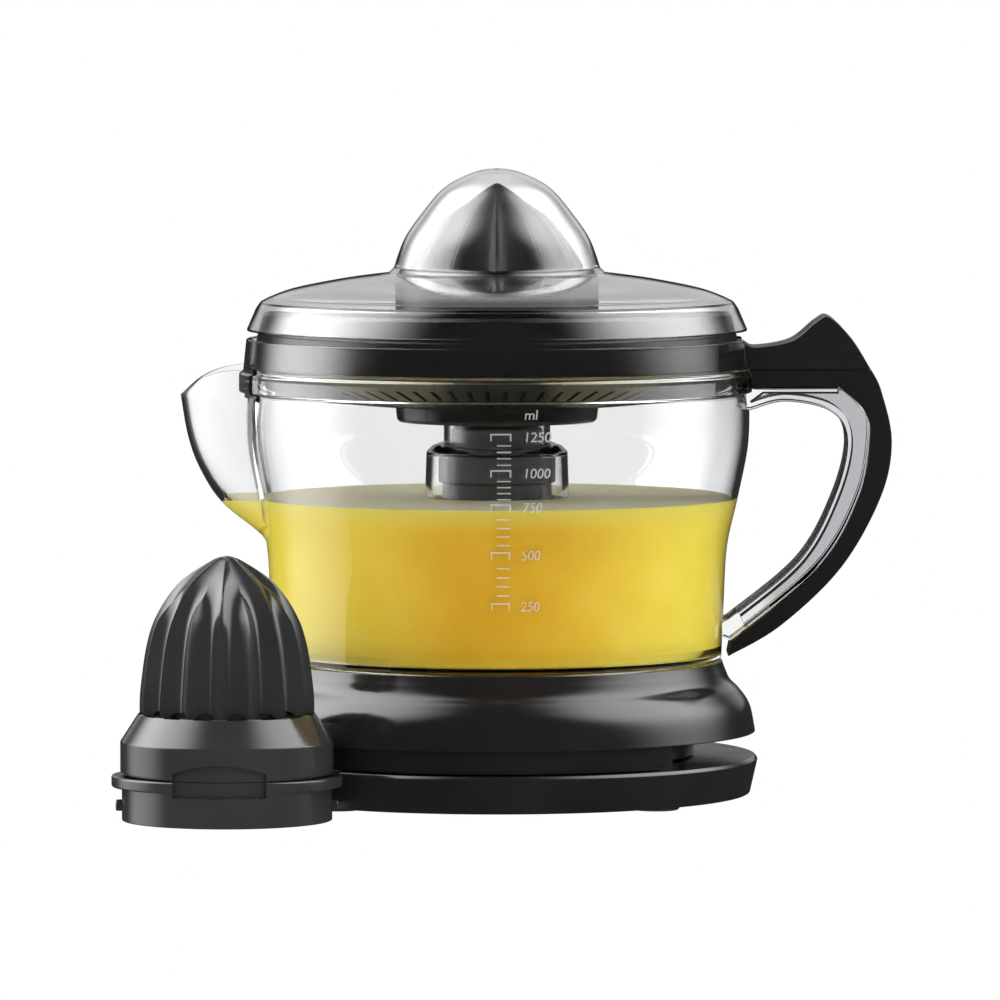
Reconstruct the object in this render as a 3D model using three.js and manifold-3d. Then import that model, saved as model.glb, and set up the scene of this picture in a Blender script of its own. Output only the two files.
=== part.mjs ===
// Citrus press juicer with a clear jug: millimetres, +Z up, the feet stand on z = 0.
// Every piece is laid out round the drive axis. The last lines move the drive axis so that the
// middle of the whole object's footprint is the origin. The spout points to -X, the handle to +X.
import * as THREE from "three";
import { mergeVertices } from "three/addons/utils/BufferGeometryUtils.js";
import Module from "manifold-3d";

const wasm = await Module();
wasm.setup();

// ---------------------------------------------------------------- driving dimensions
const GAP = 0.3; // between two pieces that touch
const ROUND = 36; // facets of a large round piece
const FINE = 12; // facets of a small round piece
const WALL = 2.5; // base mouldings

// Base: a plate on four feet, a cord-wrap groove, and an S-shaped housing with a flat deck.
const PLATE = { z: 1.3, floor: 3.3, low_r: 84.8, r: 87.4, shoulder_z: 12.7, top: 13.9, hole_r: 60 };
const GROOVE = { inner_r: 66, top: 21.9, block_r: 84.2, block_half_deg: 43.5 };
const HOUSING_SIDE = [[86.6, 21.9], [84.8, 30.5], [81.4, 35.8], [78.1, 39.2], [76.4, 42.9], [75.4, 45.6]];
const DECK = { r: 73.8, top: 46.3, under: 43.3, hole_r: 20.4 };
const FOOT = { r: 8, height: 2, circle: 74, recess: 1 };
const SCREW = { circle: 54, first_deg: 62, count: 3, head_r: 3.6, shank_r: 1.7, boss_r: 4.6, top: 22 };
const VENT = { count: 5, pitch: 9, length: 34, width: 2.6, y: -34 };
const GLAND = { r: 3, bore_r: 2, z: 18, from: 60, to: 71 };

// Jug: an S-shaped clear wall, a column over the drive tower, a beak-shaped spout and a handle.
const JUG_SIDE = [[75.2, 46.6], [76, 66], [77.1, 84.1], [80.4, 99.2], [83.8, 115.9], [84.5, 127], [84.1, 135.3]];
const JUG = { wall: 2, foot_r: 71.8, foot_z: 46.6, under: 46.9, floor: 48.2, ledge_z: 143.2, ledge_r: 80.9 };
const COLLAR = { r: 86, low: 136, high: 141.9, lip_r: 83.9, lip_z: 153.4, lip_wall: 1.6 };
const COLUMN = { low_r: 26, r: 23.6, shoulder_z: 117.5, neck_r: 17.8, neck_z: 118.9, top: 125, wall: 2 };
const SPOUT_REACH = [[75, 80], [78.7, 87.4], [92.1, 98.5], [99.5, 109.9], [103.5, 120.9], [105.9, 134.6]];
const SPOUT_RIM = [[-105.9, 134.6], [-99.5, 140], [-92, 143], [-83, 144]];
const SPOUT = { low: 80, high: 148, half_width: 33, low_half_width: 14, wall: 2, root: 70, beak: 1.7 };
const PASSAGE = { half_width: 16, low: 92, high: 134 };

// Handle: seen along Y, a clear channel inside and a black cover outside.
const HANDLE_WIDTH = 26;
const LOOP = [[84.8, 130], [96.5, 132.8], [111.6, 129.3], [116.6, 119.3], [112.2, 100.8], [100.5, 79.7], [77.4, 60.3]];
const SEAT = [[114.2, 137.7], [122.9, 129.3], [124.6, 120.9], [120.9, 100.8], [107.5, 77.4], [78.1, 52.6]];
const BACK = [[125, 143.2], [128.3, 136], [131.7, 119.3], [128, 100.8], [114.9, 77.4], [94.8, 58], [77.1, 47.6]];
const SEAM_Z = 143.2;
const COVER_ROOT_X = 84.7;
const COVER_SEAT = { low: 137.5, out_x: 92 };
const CHANNEL = { half_width: 10.6, wall: 2.2 };

// Strainer: a ring in the jug's mouth, a slotted floor, a tall hub and a thumb rest.
const RING = { r: 81.7, low: 143.5, mid: 144.4, top_r: 77.7, top: 162.8, wall: 2.3 };
const SLOTS = { count: 54, inner: 38, outer: 70, width: 1.6, floor_r: 80, floor_z: 142.2, slope: 0.254, deep: 2 };
const HUB = { r: 34, low_r: 32.6, low: 125.6, shoulder_z: 172.6, top_r: 31.5, top: 175.2, wall: 2 };
const HUB_TUBE = { r: 9.8, bore_r: 7.7, low: 128 };
const THUMB = [[76, 152.7], [82, 152.6], [86.4, 150.9], [98.2, 153.1], [106.5, 159.5], [111, 160.9], [118.3, 153.8],
  [124.6, 143.7]];
const NOTCH_HALF_WIDTH = 16.5;

// Lid: a shallow cone with a dome over the reamer.
const LID_BRIM = [[76.4, 167.2], [79.1, 165.8], [80.7, 163.5], [83.9, 156.1]];
const LID_TOP = [[36.2, 175.5], [51.3, 173.5], [68, 170.2], [76.4, 167.2]];
const LID_DOME = [[0, 210.4], [7.7, 209], [17.8, 203.7], [26.1, 194], [31.2, 186.3], [34.5, 177.2]];
const LID_WALL = 1.6;

// Reamers: the small one on the shaft, and the large one that stands beside the base.
const SMALL = { ribs: 12, depth: 0.11, bottom: 175.6, hub_r: 7.3, hub_low: 166, socket_top: 188 };
const SMALL_CREST = [[29.5, 176.4], [24.5, 184.9], [17.8, 193], [12.1, 197.3], [9.3, 199.2], [4.4, 203.3], [0.8, 205.2]];
const SMALL_CAVITY = [[25, 175], [20.3, 183], [14.5, 189.5], [9, 192]];
const LARGE = { x: -88, y: -88, ribs: 16, depth: 0.14, seam: 15.2, r: 34.8, shoulder: 25.8, foot: 35.1 };
const LARGE_CREST = [[28.6, 35.1], [28.3, 42.7], [26.2, 57.2], [22.6, 67.5], [15.4, 77.6], [5.2, 84.6], [0.8, 86.2]];
const LARGE_CAVITY = [[32.4, 14], [32.4, 25], [22.4, 34], [20.2, 55], [16, 66], [10, 74], [0, 78]];
const LARGE_RING = { r: 34.3, wall: 2.8, ear_r: 37.7, ear_low: 11, ear_y: 33.6, nub_r: 36.3, nub: [3, 6.6], nub_half: 1.8 };
// One drain slot through the large cone at the foot of each flute.
const DRAIN = { inner: 22, outer: 32, width: 6.4, low: 34.7, high: 36.2 };
// The finger recess crosses the seam: an arch with straight sides, cut back to a given radius.
const FINGER = { middle: -1.6, half_width: 15.2, low: 9.8, side_top: 17.6, top: 20.6, ring_r: 32.7, skirt_r: 33.2 };

// Drive: motor, two-stage gear train, shaft, and the plunger that works the switch.
const TRAVEL = 2.5; // how far the shaft goes down under a pressed fruit
const TOWER = { flange_r: 26, flange_low: 40.4, flange_top: 43, low_r: 19.8, r: 18.2, collar_low: 105.5 };
const TOWER_TOP = { collar_r: 19.6, collar_high: 114.4, neck_r: 15.2, top: 123.6, bush_r: 7.3, bush_low: 116 };
const BUSH = { r: 7, low: 116.3, top: 123.4 };
const SEAL = { r: 9, low: 123.9, top: 125.9 };
const SHAFT = { r: 4, low: 18.3, hex_low: 150, top: 186, clear: 0.4 };
const OUTPUT = { teeth: 48, module: 1.25, low: 31.4, thick: 3.4 };
const IDLER = { x: 0, y: 37.5, pinion_teeth: 12, wheel_teeth: 48, wheel_module: 5 / 6, low: 28.9, split: 35.6 };
const IDLER_TOP = 38.8;
const IDLER_PIN_R = 1.5;
const ROTOR = { teeth: 8, r: 9.5, shaft_r: 1.5, low: 7.8, core_low: 11, core_high: 23, pinion_low: 35, top: 39.6 };
const ROTOR_SIDE = (IDLER.wheel_module * (IDLER.wheel_teeth + ROTOR.teeth)) / 2;
const MOTOR_TURN = Math.PI - 0.41; // the motor's long side, turned from +Y towards -X
const STACK = { bore: 10, end_r: 13, leg_low: 26, leg_high: 36, window: 14, low: 11, high: 23 };
const COIL = { half_length: 10, build: 4.5 };
const BRACKET = { low: 26.9, high: 28.6, width: 15, leg_r: 3 };
const BRACKET_LEGS = [[16, -16], [12, 50], [-2, 24]];
const PLUNGER = { low: 9.7, top: 22, r: 7, flange_r: 16, flange_low: 15.5, flange_high: 17.5, cup: 18 };
const GUIDE = { r: 10, bore_r: 7.4, top: 12.6 };
const SPRING = { r: 4.6, wire: 0.5, turns: 4, low: 3.6, high: 9.4 };
const SWITCH = { x: 10.6, length: 13, width: 9, top: 11.5, button_x: 13.6, button: 3, slot_low: 5.5 };

// ---------------------------------------------------------------- colours
const plastic = (color, roughness) => new THREE.MeshStandardMaterial({ color, roughness, metalness: 0 });
const metal = (color, roughness) => new THREE.MeshStandardMaterial({ color, roughness, metalness: 1 });
const BLACK = plastic(0x17181a, 0.15);
const DARK = plastic(0x26262a, 0.4);
const GREY_PLASTIC = plastic(0x8d8f92, 0.5);
const NYLON = plastic(0xe8e4d6, 0.5);
const RUBBER = plastic(0x1c1c1c, 0.85);
const STEEL = metal(0xb9bcc0, 0.3);
const LAMINATION = metal(0x6d7075, 0.5);
const COPPER = metal(0xb0643a, 0.4);
const BRONZE = metal(0xa8834a, 0.45);
const CLEAR = new THREE.MeshStandardMaterial({ color: 0xf2f5f6, roughness: 0.05, transparent: true, opacity: 0.3 });

// ---------------------------------------------------------------- solids
const v2 = ([x, y]) => new THREE.Vector2(x, y);
const smooth = (points, steps) => new THREE.SplineCurve(points.map(v2)).getPoints(steps);
const radians = THREE.MathUtils.degToRad;

// A closed geometry as a solid, with its faces turned outwards.
function solid(geometry) {
  const loose = geometry.index ? geometry.toNonIndexed() : geometry;
  const bare = new THREE.BufferGeometry().setAttribute("position", loose.getAttribute("position"));
  const merged = mergeVertices(bare, 1e-3);
  const corners = [];
  const index = merged.index.array;
  for (let i = 0; i < index.length; i += 3) {
    const [a, b, c] = [index[i], index[i + 1], index[i + 2]];
    if (a !== b && b !== c && c !== a) corners.push(a, b, c);
  }
  const vertProperties = merged.attributes.position.array;
  const make = (list) =>
    new wasm.Manifold(new wasm.Mesh({ numProp: 3, vertProperties, triVerts: new Uint32Array(list) }));
  const made = make(corners);
  return made.volume() > 0 ? made : make(corners.reverse());
}

const join = (first, ...rest) => rest.reduce((whole, piece) => whole.add(piece), first);
const cut = (first, ...rest) => rest.reduce((whole, piece) => whole.subtract(piece), first);

// A profile of [radius, height] turned round the Z axis.
function turned(profile, facets = ROUND) {
  const points = profile.map((p) => (p.isVector2 ? p : v2(p)));
  return solid(new THREE.LatheGeometry(points, facets).rotateX(Math.PI / 2));
}

// A profile that closes on itself.
const ringOf = (profile, facets) => turned([...profile, profile[0]], facets);

function rod(r, low, high, x = 0, y = 0, facets = FINE) {
  const cylinder = new THREE.CylinderGeometry(r, r, high - low, facets).rotateX(Math.PI / 2);
  return solid(cylinder.translate(x, y, (low + high) / 2));
}

function tube(r, bore, low, high, x = 0, y = 0, facets = FINE) {
  return cut(rod(r, low, high, x, y, facets), rod(bore, low - 1, high + 1, x, y, facets));
}

function block(from, to) {
  const [a, b] = [new THREE.Vector3(...from), new THREE.Vector3(...to)];
  const size = b.clone().sub(a);
  const middle = a.add(b).multiplyScalar(0.5);
  return solid(new THREE.BoxGeometry(size.x, size.y, size.z).translate(middle.x, middle.y, middle.z));
}

// A flat outline raised from low to high.
function raised(shape, low, high) {
  const geometry = new THREE.ExtrudeGeometry(shape, { depth: high - low, bevelEnabled: false, curveSegments: 6 });
  return solid(geometry.translate(0, 0, low));
}

// An outline of [x, z] with the given width across Y.
function slab(points, width) {
  const shape = new THREE.Shape(points.map((p) => (p.isVector2 ? p : v2(p))));
  const geometry = new THREE.ExtrudeGeometry(shape, { depth: width, bevelEnabled: false });
  return solid(geometry.rotateX(Math.PI / 2).translate(0, width / 2, 0));
}

// Rings of equal point counts joined in order, with a fan over each end.
function loft(rings) {
  const middle = (ring) => ring.reduce((sum, p) => sum.add(p), new THREE.Vector3()).divideScalar(ring.length);
  const corners = [];
  const n = rings[0].length;
  for (let i = 0; i < n; i++) {
    const j = (i + 1) % n;
    for (let k = 0; k + 1 < rings.length; k++) {
      const [low, high] = [rings[k], rings[k + 1]];
      corners.push(low[i], low[j], high[j], low[i], high[j], high[i]);
    }
    const [first, last] = [rings[0], rings.at(-1)];
    corners.push(middle(first), first[j], first[i], middle(last), last[i], last[j]);
  }
  return solid(new THREE.BufferGeometry().setFromPoints(corners));
}

// A path moved sideways by a distance, to the left of its direction.
function beside(path, distance) {
  return path.map((p, i) => {
    const before = path[Math.max(i - 1, 0)];
    const after = path[Math.min(i + 1, path.length - 1)];
    const along = after.clone().sub(before).normalize();
    return new THREE.Vector2(p.x - along.y * distance, p.y + along.x * distance);
  });
}

// A bar with round ends between two points, seen from above.
function bar(a, b, width, low, high) {
  const turn = Math.atan2(b[1] - a[1], b[0] - a[0]);
  const shape = new THREE.Shape();
  shape.absarc(b[0], b[1], width / 2, turn - Math.PI / 2, turn + Math.PI / 2, false);
  shape.absarc(a[0], a[1], width / 2, turn + Math.PI / 2, turn + 1.5 * Math.PI, false);
  return raised(shape, low, high);
}

// A reamer: the crest line's radius falls by `depth` between the ribs, which are narrow.
function reamer(crest, ribs, depth, bottom, samples, phase) {
  const n = ribs * samples;
  const ring = (r, z, fall) =>
    Array.from({ length: n }, (_, i) => {
      const turn = (2 * Math.PI * i) / n;
      const dip = Math.sqrt(Math.abs(Math.sin((ribs * turn) / 2)));
      const reach = r * (1 - fall * dip);
      return new THREE.Vector3(reach * Math.cos(turn + phase), reach * Math.sin(turn + phase), z);
    });
  const start = crest[0];
  return loft([ring(start[0], bottom, 0), ...crest.map(([r, z]) => ring(r, z, depth))]);
}

// A spur gear's outline; a tooth is centred on the direction `phase`.
function gearShape(teeth, module, phase) {
  const pitch = (teeth * module) / 2;
  const [root, tip] = [pitch - 1.2 * module, pitch + 0.9 * module];
  const step = (2 * Math.PI) / teeth;
  const shape = new THREE.Shape();
  const at = (r, turn) => new THREE.Vector2(r * Math.cos(turn), r * Math.sin(turn));
  const points = [];
  for (let k = 0; k < teeth; k++) {
    const middle = phase + k * step;
    points.push(at(root, middle - 0.3 * step), at(tip, middle - 0.11 * step));
    points.push(at(tip, middle + 0.11 * step), at(root, middle + 0.3 * step));
  }
  return shape.setFromPoints(points);
}

const gear = (teeth, module, phase, low, high) => raised(gearShape(teeth, module, phase), low, high);

// ---------------------------------------------------------------- the scene graph
const product = new THREE.Group();

function group(parent = product) {
  const made = new THREE.Group();
  parent.add(made);
  return made;
}

function place(parent, name, shape, material) {
  const { numProp, vertProperties, triVerts } = shape.getMesh();
  const geometry = new THREE.BufferGeometry();
  geometry.setAttribute("position", new THREE.BufferAttribute(vertProperties, numProp));
  geometry.setIndex(new THREE.BufferAttribute(triVerts, 1));
  geometry.computeVertexNormals();
  const mesh = new THREE.Mesh(geometry, material);
  mesh.name = name;
  parent.add(mesh);
}

const around = (count, first, radius) =>
  Array.from({ length: count }, (_, i) => {
    const turn = radians(first) + (2 * Math.PI * i) / count;
    return [radius * Math.cos(turn), radius * Math.sin(turn)];
  });

const rotorX = IDLER.x - ROTOR_SIDE;
const rotorY = IDLER.y;

// ---------------------------------------------------------------- base mouldings
const base = group();
const screwPlaces = around(SCREW.count, SCREW.first_deg, SCREW.circle);
const footPlaces = around(4, 45, FOOT.circle);

function basePlate() {
  let plate = turned([
    [0, PLATE.z],
    [PLATE.low_r, PLATE.z],
    [PLATE.r, PLATE.shoulder_z],
    [PLATE.r - 0.9, PLATE.top],
    [PLATE.hole_r, PLATE.top],
    [PLATE.hole_r, PLATE.top - 2],
    [PLATE.r - WALL - 0.3, PLATE.top - 2],
    [PLATE.low_r - WALL, PLATE.floor],
    [0, PLATE.floor],
  ]);
  plate = join(plate, tube(GUIDE.r, GUIDE.bore_r, PLATE.floor - 0.5, GUIDE.top));
  plate = join(plate, tube(6, 4.3, PLATE.floor - 0.5, 9.6, rotorX, rotorY));
  for (const [x, y] of screwPlaces) {
    plate = join(plate, rod(6.6, PLATE.floor - 0.5, 7, x, y));
    plate = cut(plate, rod(SCREW.head_r + 0.5, PLATE.z - 1, 5, x, y), rod(2.1, 1, 8, x, y));
  }
  for (const [x, y] of footPlaces) plate = cut(plate, rod(FOOT.r + 0.4, 0, PLATE.z + FOOT.recess, x, y));
  for (let i = 0; i < VENT.count; i++) {
    const x = (i - (VENT.count - 1) / 2) * VENT.pitch;
    const half = VENT.length / 2;
    const slot = [x - VENT.width / 2, VENT.y - half, 0];
    plate = cut(plate, block(slot, [x + VENT.width / 2, VENT.y + half - 8, 5]));
  }
  return plate;
}

function baseHousing() {
  const side = smooth(HOUSING_SIDE, 6);
  const inside = beside(side, WALL).reverse();
  const innerWall = GROOVE.inner_r - WALL;
  const flange = GROOVE.top + 2.4;
  const profile = [
    [innerWall, PLATE.top + GAP],
    [GROOVE.inner_r, PLATE.top + GAP],
    [GROOVE.inner_r, GROOVE.top],
    ...side,
    [DECK.r, DECK.top],
    [DECK.hole_r, DECK.top],
    [DECK.hole_r, DECK.under],
    [DECK.r - 1, DECK.under],
    ...inside.filter((p) => p.y < DECK.under - 1 && p.y > flange + 1),
    [83.8, flange],
    [innerWall, flange],
  ];
  let housing = ringOf(profile);
  const sector = new THREE.Shape();
  const half = radians(GROOVE.block_half_deg);
  sector.absarc(0, 0, GROOVE.block_r, -Math.PI / 2 - half, -Math.PI / 2 + half, false);
  sector.absarc(0, 0, GROOVE.inner_r - 1, -Math.PI / 2 + half, -Math.PI / 2 - half, true);
  housing = join(housing, raised(sector, PLATE.top + GAP, GROOVE.top + 0.5));
  for (const [x, y] of screwPlaces) {
    const hole = rod(SCREW.shank_r + GAP, 0, SCREW.top + 2, x, y);
    housing = cut(join(housing, rod(SCREW.boss_r, 7.3, DECK.under + 0.5, x, y)), hole);
  }
  const wayOut = new THREE.CylinderGeometry(GLAND.r + GAP, GLAND.r + GAP, 20, FINE);
  return cut(housing, solid(wayOut.translate(0, GROOVE.inner_r, GLAND.z)));
}

function cordGland() {
  const length = GLAND.to - GLAND.from;
  const middle = (GLAND.to + GLAND.from) / 2;
  const outer = new THREE.CylinderGeometry(GLAND.r, GLAND.r, length, FINE).translate(0, middle, GLAND.z);
  const bore = new THREE.CylinderGeometry(GLAND.bore_r, GLAND.bore_r, length + 2, FINE).translate(0, middle, GLAND.z);
  return cut(solid(outer), solid(bore));
}

place(base, "base_plate", basePlate(), BLACK);
place(base, "base_housing", baseHousing(), BLACK);
place(base, "cord_gland", cordGland(), RUBBER);
footPlaces.forEach(([x, y], i) => {
  const foot = turned([[0, 0], [FOOT.r - 0.7, 0], [FOOT.r, 0.7], [FOOT.r, FOOT.height], [0, FOOT.height]], FINE);
  place(base, `foot_${i + 1}`, foot.translate([x, y, 0]), RUBBER);
});
screwPlaces.forEach(([x, y], i) => {
  const screw = join(rod(SCREW.head_r, 2.2, 4.7, x, y), rod(SCREW.shank_r, 4.5, SCREW.top, x, y));
  place(base, `base_screw_${i + 1}`, screw, STEEL);
});

// ---------------------------------------------------------------- drive tower
function driveTower() {
  return ringOf([
    [TOWER.low_r - 3, TOWER.flange_low],
    [TOWER.flange_r, TOWER.flange_low],
    [TOWER.flange_r, TOWER.flange_top],
    [TOWER.low_r, TOWER.flange_top],
    [TOWER.r, TOWER.collar_low],
    [TOWER_TOP.collar_r, TOWER.collar_low],
    [TOWER_TOP.collar_r, TOWER_TOP.collar_high],
    [TOWER_TOP.neck_r, TOWER_TOP.collar_high],
    [TOWER_TOP.neck_r, TOWER_TOP.top],
    [TOWER_TOP.bush_r, TOWER_TOP.top],
    [TOWER_TOP.bush_r, TOWER_TOP.bush_low],
    [SHAFT.r + 0.5, TOWER_TOP.bush_low],
    [SHAFT.r + 0.5, TOWER_TOP.bush_low - 2],
    [TOWER.r - 2.5, TOWER_TOP.bush_low - 4],
  ], 24);
}

place(base, "drive_tower", driveTower(), DARK);
place(base, "tower_bush", tube(BUSH.r, SHAFT.r + 0.3, BUSH.low, BUSH.top), BRONZE);
place(base, "shaft_seal", tube(SEAL.r, SHAFT.r + 0.3, SEAL.low, SEAL.top), RUBBER);

// ---------------------------------------------------------------- motor
function onMotor(shape) {
  return shape.rotate([0, 0, THREE.MathUtils.radToDeg(MOTOR_TURN)]).translate([rotorX, rotorY, 0]);
}

// The lamination stack lies along local +Y from the rotor's bore to the leg that holds the coil.
function statorCore() {
  const outline = new THREE.Shape();
  outline.moveTo(-STACK.end_r, STACK.leg_high);
  outline.absarc(0, 0, STACK.end_r, Math.PI, 2 * Math.PI, false);
  outline.lineTo(STACK.end_r, STACK.leg_high);
  const window = block([-COIL.half_length - 0.5, STACK.window, 0], [COIL.half_length + 0.5, STACK.leg_low, 40]);
  const stack = raised(outline, STACK.low, STACK.high);
  return onMotor(cut(stack, rod(STACK.bore, 0, 40, 0, 0, 24), window));
}

function statorCoil() {
  const { half_length: half, build } = COIL;
  const outer = block(
    [-half, STACK.leg_low - build, STACK.low - build],
    [half, STACK.leg_high + build, STACK.high + build],
  );
  const leg = block(
    [-half - 1, STACK.leg_low - GAP, STACK.low - GAP],
    [half + 1, STACK.leg_high + GAP, STACK.high + GAP],
  );
  return onMotor(cut(outer, leg));
}

function rotor() {
  const pinion = gear(ROTOR.teeth, IDLER.wheel_module, 0, ROTOR.pinion_low, ROTOR.top);
  const whole = join(
    rod(ROTOR.shaft_r, ROTOR.low, ROTOR.top),
    rod(ROTOR.r, ROTOR.core_low, ROTOR.core_high, 0, 0, 24),
    pinion,
  );
  return whole.translate([rotorX, rotorY, 0]);
}

function motorBracket() {
  const [axis, idler, motor] = [[0, 0], [IDLER.x, IDLER.y], [rotorX, rotorY]];
  const bars = [bar(axis, idler, BRACKET.width, BRACKET.low, BRACKET.high)];
  bars.push(bar(idler, motor, BRACKET.width, BRACKET.low, BRACKET.high));
  bars.push(bar(axis, BRACKET_LEGS[0], BRACKET.width, BRACKET.low, BRACKET.high));
  bars.push(bar(idler, BRACKET_LEGS[1], BRACKET.width, BRACKET.low, BRACKET.high));
  const legs = BRACKET_LEGS.map(([x, y]) => rod(BRACKET.leg_r, PLATE.floor + GAP, BRACKET.low + 1, x, y, 12));
  return cut(
    join(...bars, ...legs),
    rod(SHAFT.r + 0.4, 20, 40),
    rod(IDLER_PIN_R + GAP, 20, 40, IDLER.x, IDLER.y),
    rod(4.2, 20, 40, rotorX, rotorY),
  );
}

const motor = group(base);
place(motor, "stator_core", statorCore(), LAMINATION);
place(motor, "stator_coil", statorCoil(), COPPER);
place(motor, "rotor", rotor(), STEEL);
place(motor, "rotor_bush_lower", tube(4, 1.8, 6.4, 9.6, rotorX, rotorY), BRONZE);
place(motor, "rotor_bush_upper", tube(3.9, 1.8, 26.2, 29, rotorX, rotorY), BRONZE);
place(motor, "motor_bracket", motorBracket(), STEEL);

// ---------------------------------------------------------------- gear train
// At rest a tooth of each driven wheel points at its pinion, whose gap faces that tooth.
const halfTooth = (teeth) => Math.PI / teeth;

function idlerGear() {
  const pinion = gear(
    IDLER.pinion_teeth, OUTPUT.module, -Math.PI / 2 + halfTooth(IDLER.pinion_teeth), IDLER.low, IDLER.split + 0.5,
  );
  const wheel = gear(
    IDLER.wheel_teeth, IDLER.wheel_module, Math.PI + halfTooth(IDLER.wheel_teeth), IDLER.split, IDLER_TOP,
  );
  const pair = cut(join(pinion, wheel), rod(IDLER_PIN_R + GAP, 20, 50));
  return pair.translate([IDLER.x, IDLER.y, 0]);
}

function outputGear() {
  const wheel = gear(OUTPUT.teeth, OUTPUT.module, Math.PI / 2, OUTPUT.low, OUTPUT.low + OUTPUT.thick);
  const hub = rod(8, OUTPUT.low, OUTPUT.low + 7);
  return cut(join(wheel, hub), rod(SHAFT.r + GAP, 20, 50));
}

function driveShaft() {
  const hex = solid(
    new THREE.CylinderGeometry(SHAFT.r, SHAFT.r, SHAFT.top - SHAFT.hex_low, 6)
      .rotateX(Math.PI / 2)
      .translate(0, 0, (SHAFT.top + SHAFT.hex_low) / 2),
  );
  return join(rod(SHAFT.r, SHAFT.low, SHAFT.hex_low + 0.5), hex);
}

place(base, "idler_gear", idlerGear(), NYLON);
place(base, "idler_pin", rod(IDLER_PIN_R, BRACKET.low + 0.2, IDLER_TOP + 1, IDLER.x, IDLER.y, 12), STEEL);
const output = group(base);
place(output, "output_gear", outputGear(), NYLON);
place(output, "drive_shaft", driveShaft(), GREY_PLASTIC);

// ---------------------------------------------------------------- plunger, spring and switch
function thrustPlunger() {
  const cup = SHAFT.r + 0.4;
  return turned([
    [0, PLUNGER.low],
    [PLUNGER.r, PLUNGER.low],
    [PLUNGER.r, PLUNGER.flange_low],
    [PLUNGER.flange_r, PLUNGER.flange_low],
    [PLUNGER.flange_r, PLUNGER.flange_high],
    [PLUNGER.r, PLUNGER.flange_high],
    [PLUNGER.r, PLUNGER.top],
    [cup, PLUNGER.top],
    [cup, PLUNGER.cup],
    [0, PLUNGER.cup],
  ], FINE);
}

class Helix extends THREE.Curve {
  getPoint(t, target = new THREE.Vector3()) {
    const turn = 2 * Math.PI * SPRING.turns * t;
    const low = SPRING.low + SPRING.wire;
    const rise = SPRING.high - SPRING.low - 2 * SPRING.wire;
    return target.set(SPRING.r * Math.cos(turn), SPRING.r * Math.sin(turn), low + rise * t);
  }
}

function returnSpring() {
  const wire = new THREE.Shape().absarc(0, 0, SPRING.wire, 0, 2 * Math.PI, false);
  const path = new Helix();
  const steps = SPRING.turns * 12;
  return solid(new THREE.ExtrudeGeometry(wire, { steps, extrudePath: path, bevelEnabled: false, curveSegments: 3 }));
}

function switchBody() {
  const half = SWITCH.width / 2;
  const body = block([SWITCH.x, -half, PLATE.floor + GAP], [SWITCH.x + SWITCH.length, half, SWITCH.top]);
  const room = SWITCH.button / 2 + GAP;
  return cut(body, block([SWITCH.button_x - room, -room, SWITCH.slot_low], [SWITCH.button_x + room, room, 20]));
}

function switchButton() {
  const half = SWITCH.button / 2;
  const low = SWITCH.slot_low + TRAVEL + 0.5;
  return block([SWITCH.button_x - half, -half, low], [SWITCH.button_x + half, half, PLUNGER.flange_low - GAP]);
}

place(base, "thrust_plunger", thrustPlunger(), NYLON);
place(base, "return_spring", returnSpring(), STEEL);
place(base, "switch_body", switchBody(), DARK);
place(base, "switch_button", switchButton(), NYLON);

// ---------------------------------------------------------------- jug
const jug = group();

// The beak's outer or inner skin: horizontal sections that narrow downwards.
function beak(inset, high) {
  const reach = new THREE.SplineCurve(SPOUT_REACH.map(v2));
  const rings = [];
  const levels = 9;
  for (let k = 0; k <= levels; k++) {
    const at = reach.getPoint(k / levels);
    const share = (at.y - SPOUT.low) / (SPOUT_REACH.at(-1)[1] - SPOUT.low);
    const half = SPOUT.low_half_width + (SPOUT.half_width - SPOUT.low_half_width) * Math.sqrt(share);
    rings.push({ tip: at.x - inset, half: half - inset, z: at.y + inset * (1 - share) });
  }
  rings.push({ ...rings.at(-1), z: high });
  const steps = 10;
  return loft(
    rings.map(({ tip, half, z }) => {
      const ring = [];
      for (let i = 0; i <= steps; i++) {
        const t = (2 * i) / steps - 1;
        const x = SPOUT.root + 4 + (tip - SPOUT.root - 4) * (1 - Math.abs(t) ** SPOUT.beak);
        ring.push(new THREE.Vector3(-x, -half * t, z));
      }
      ring.push(new THREE.Vector3(-SPOUT.root, -half, z), new THREE.Vector3(-SPOUT.root, half, z));
      return ring;
    }),
  );
}

function spout() {
  const above = [...smooth(SPOUT_RIM, 6), [-60, 144.2], [-60, 170], [-130, 170], [-130, 134.6]];
  const skin = cut(beak(0, SPOUT.high), beak(SPOUT.wall, SPOUT.high + 5));
  return cut(skin, slab(above, 100));
}

function clearHandle() {
  const loop = smooth(LOOP, 14);
  const seat = beside(smooth(SEAT, 10), -GAP);
  const outline = [[82.5, 130], ...loop, [75, 59], [75, 54], ...seat.slice().reverse(), [84, 137.4], [82.5, 137.4]];
  const inner = beside(loop, CHANNEL.wall);
  const channel = [...inner.slice(1, -2), [86, 50], [140, 50], [140, 150], [114, 150], [114, 135.4], [89, 135.4]];
  return cut(slab(outline, HANDLE_WIDTH), slab(channel, 2 * CHANNEL.half_width));
}

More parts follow.
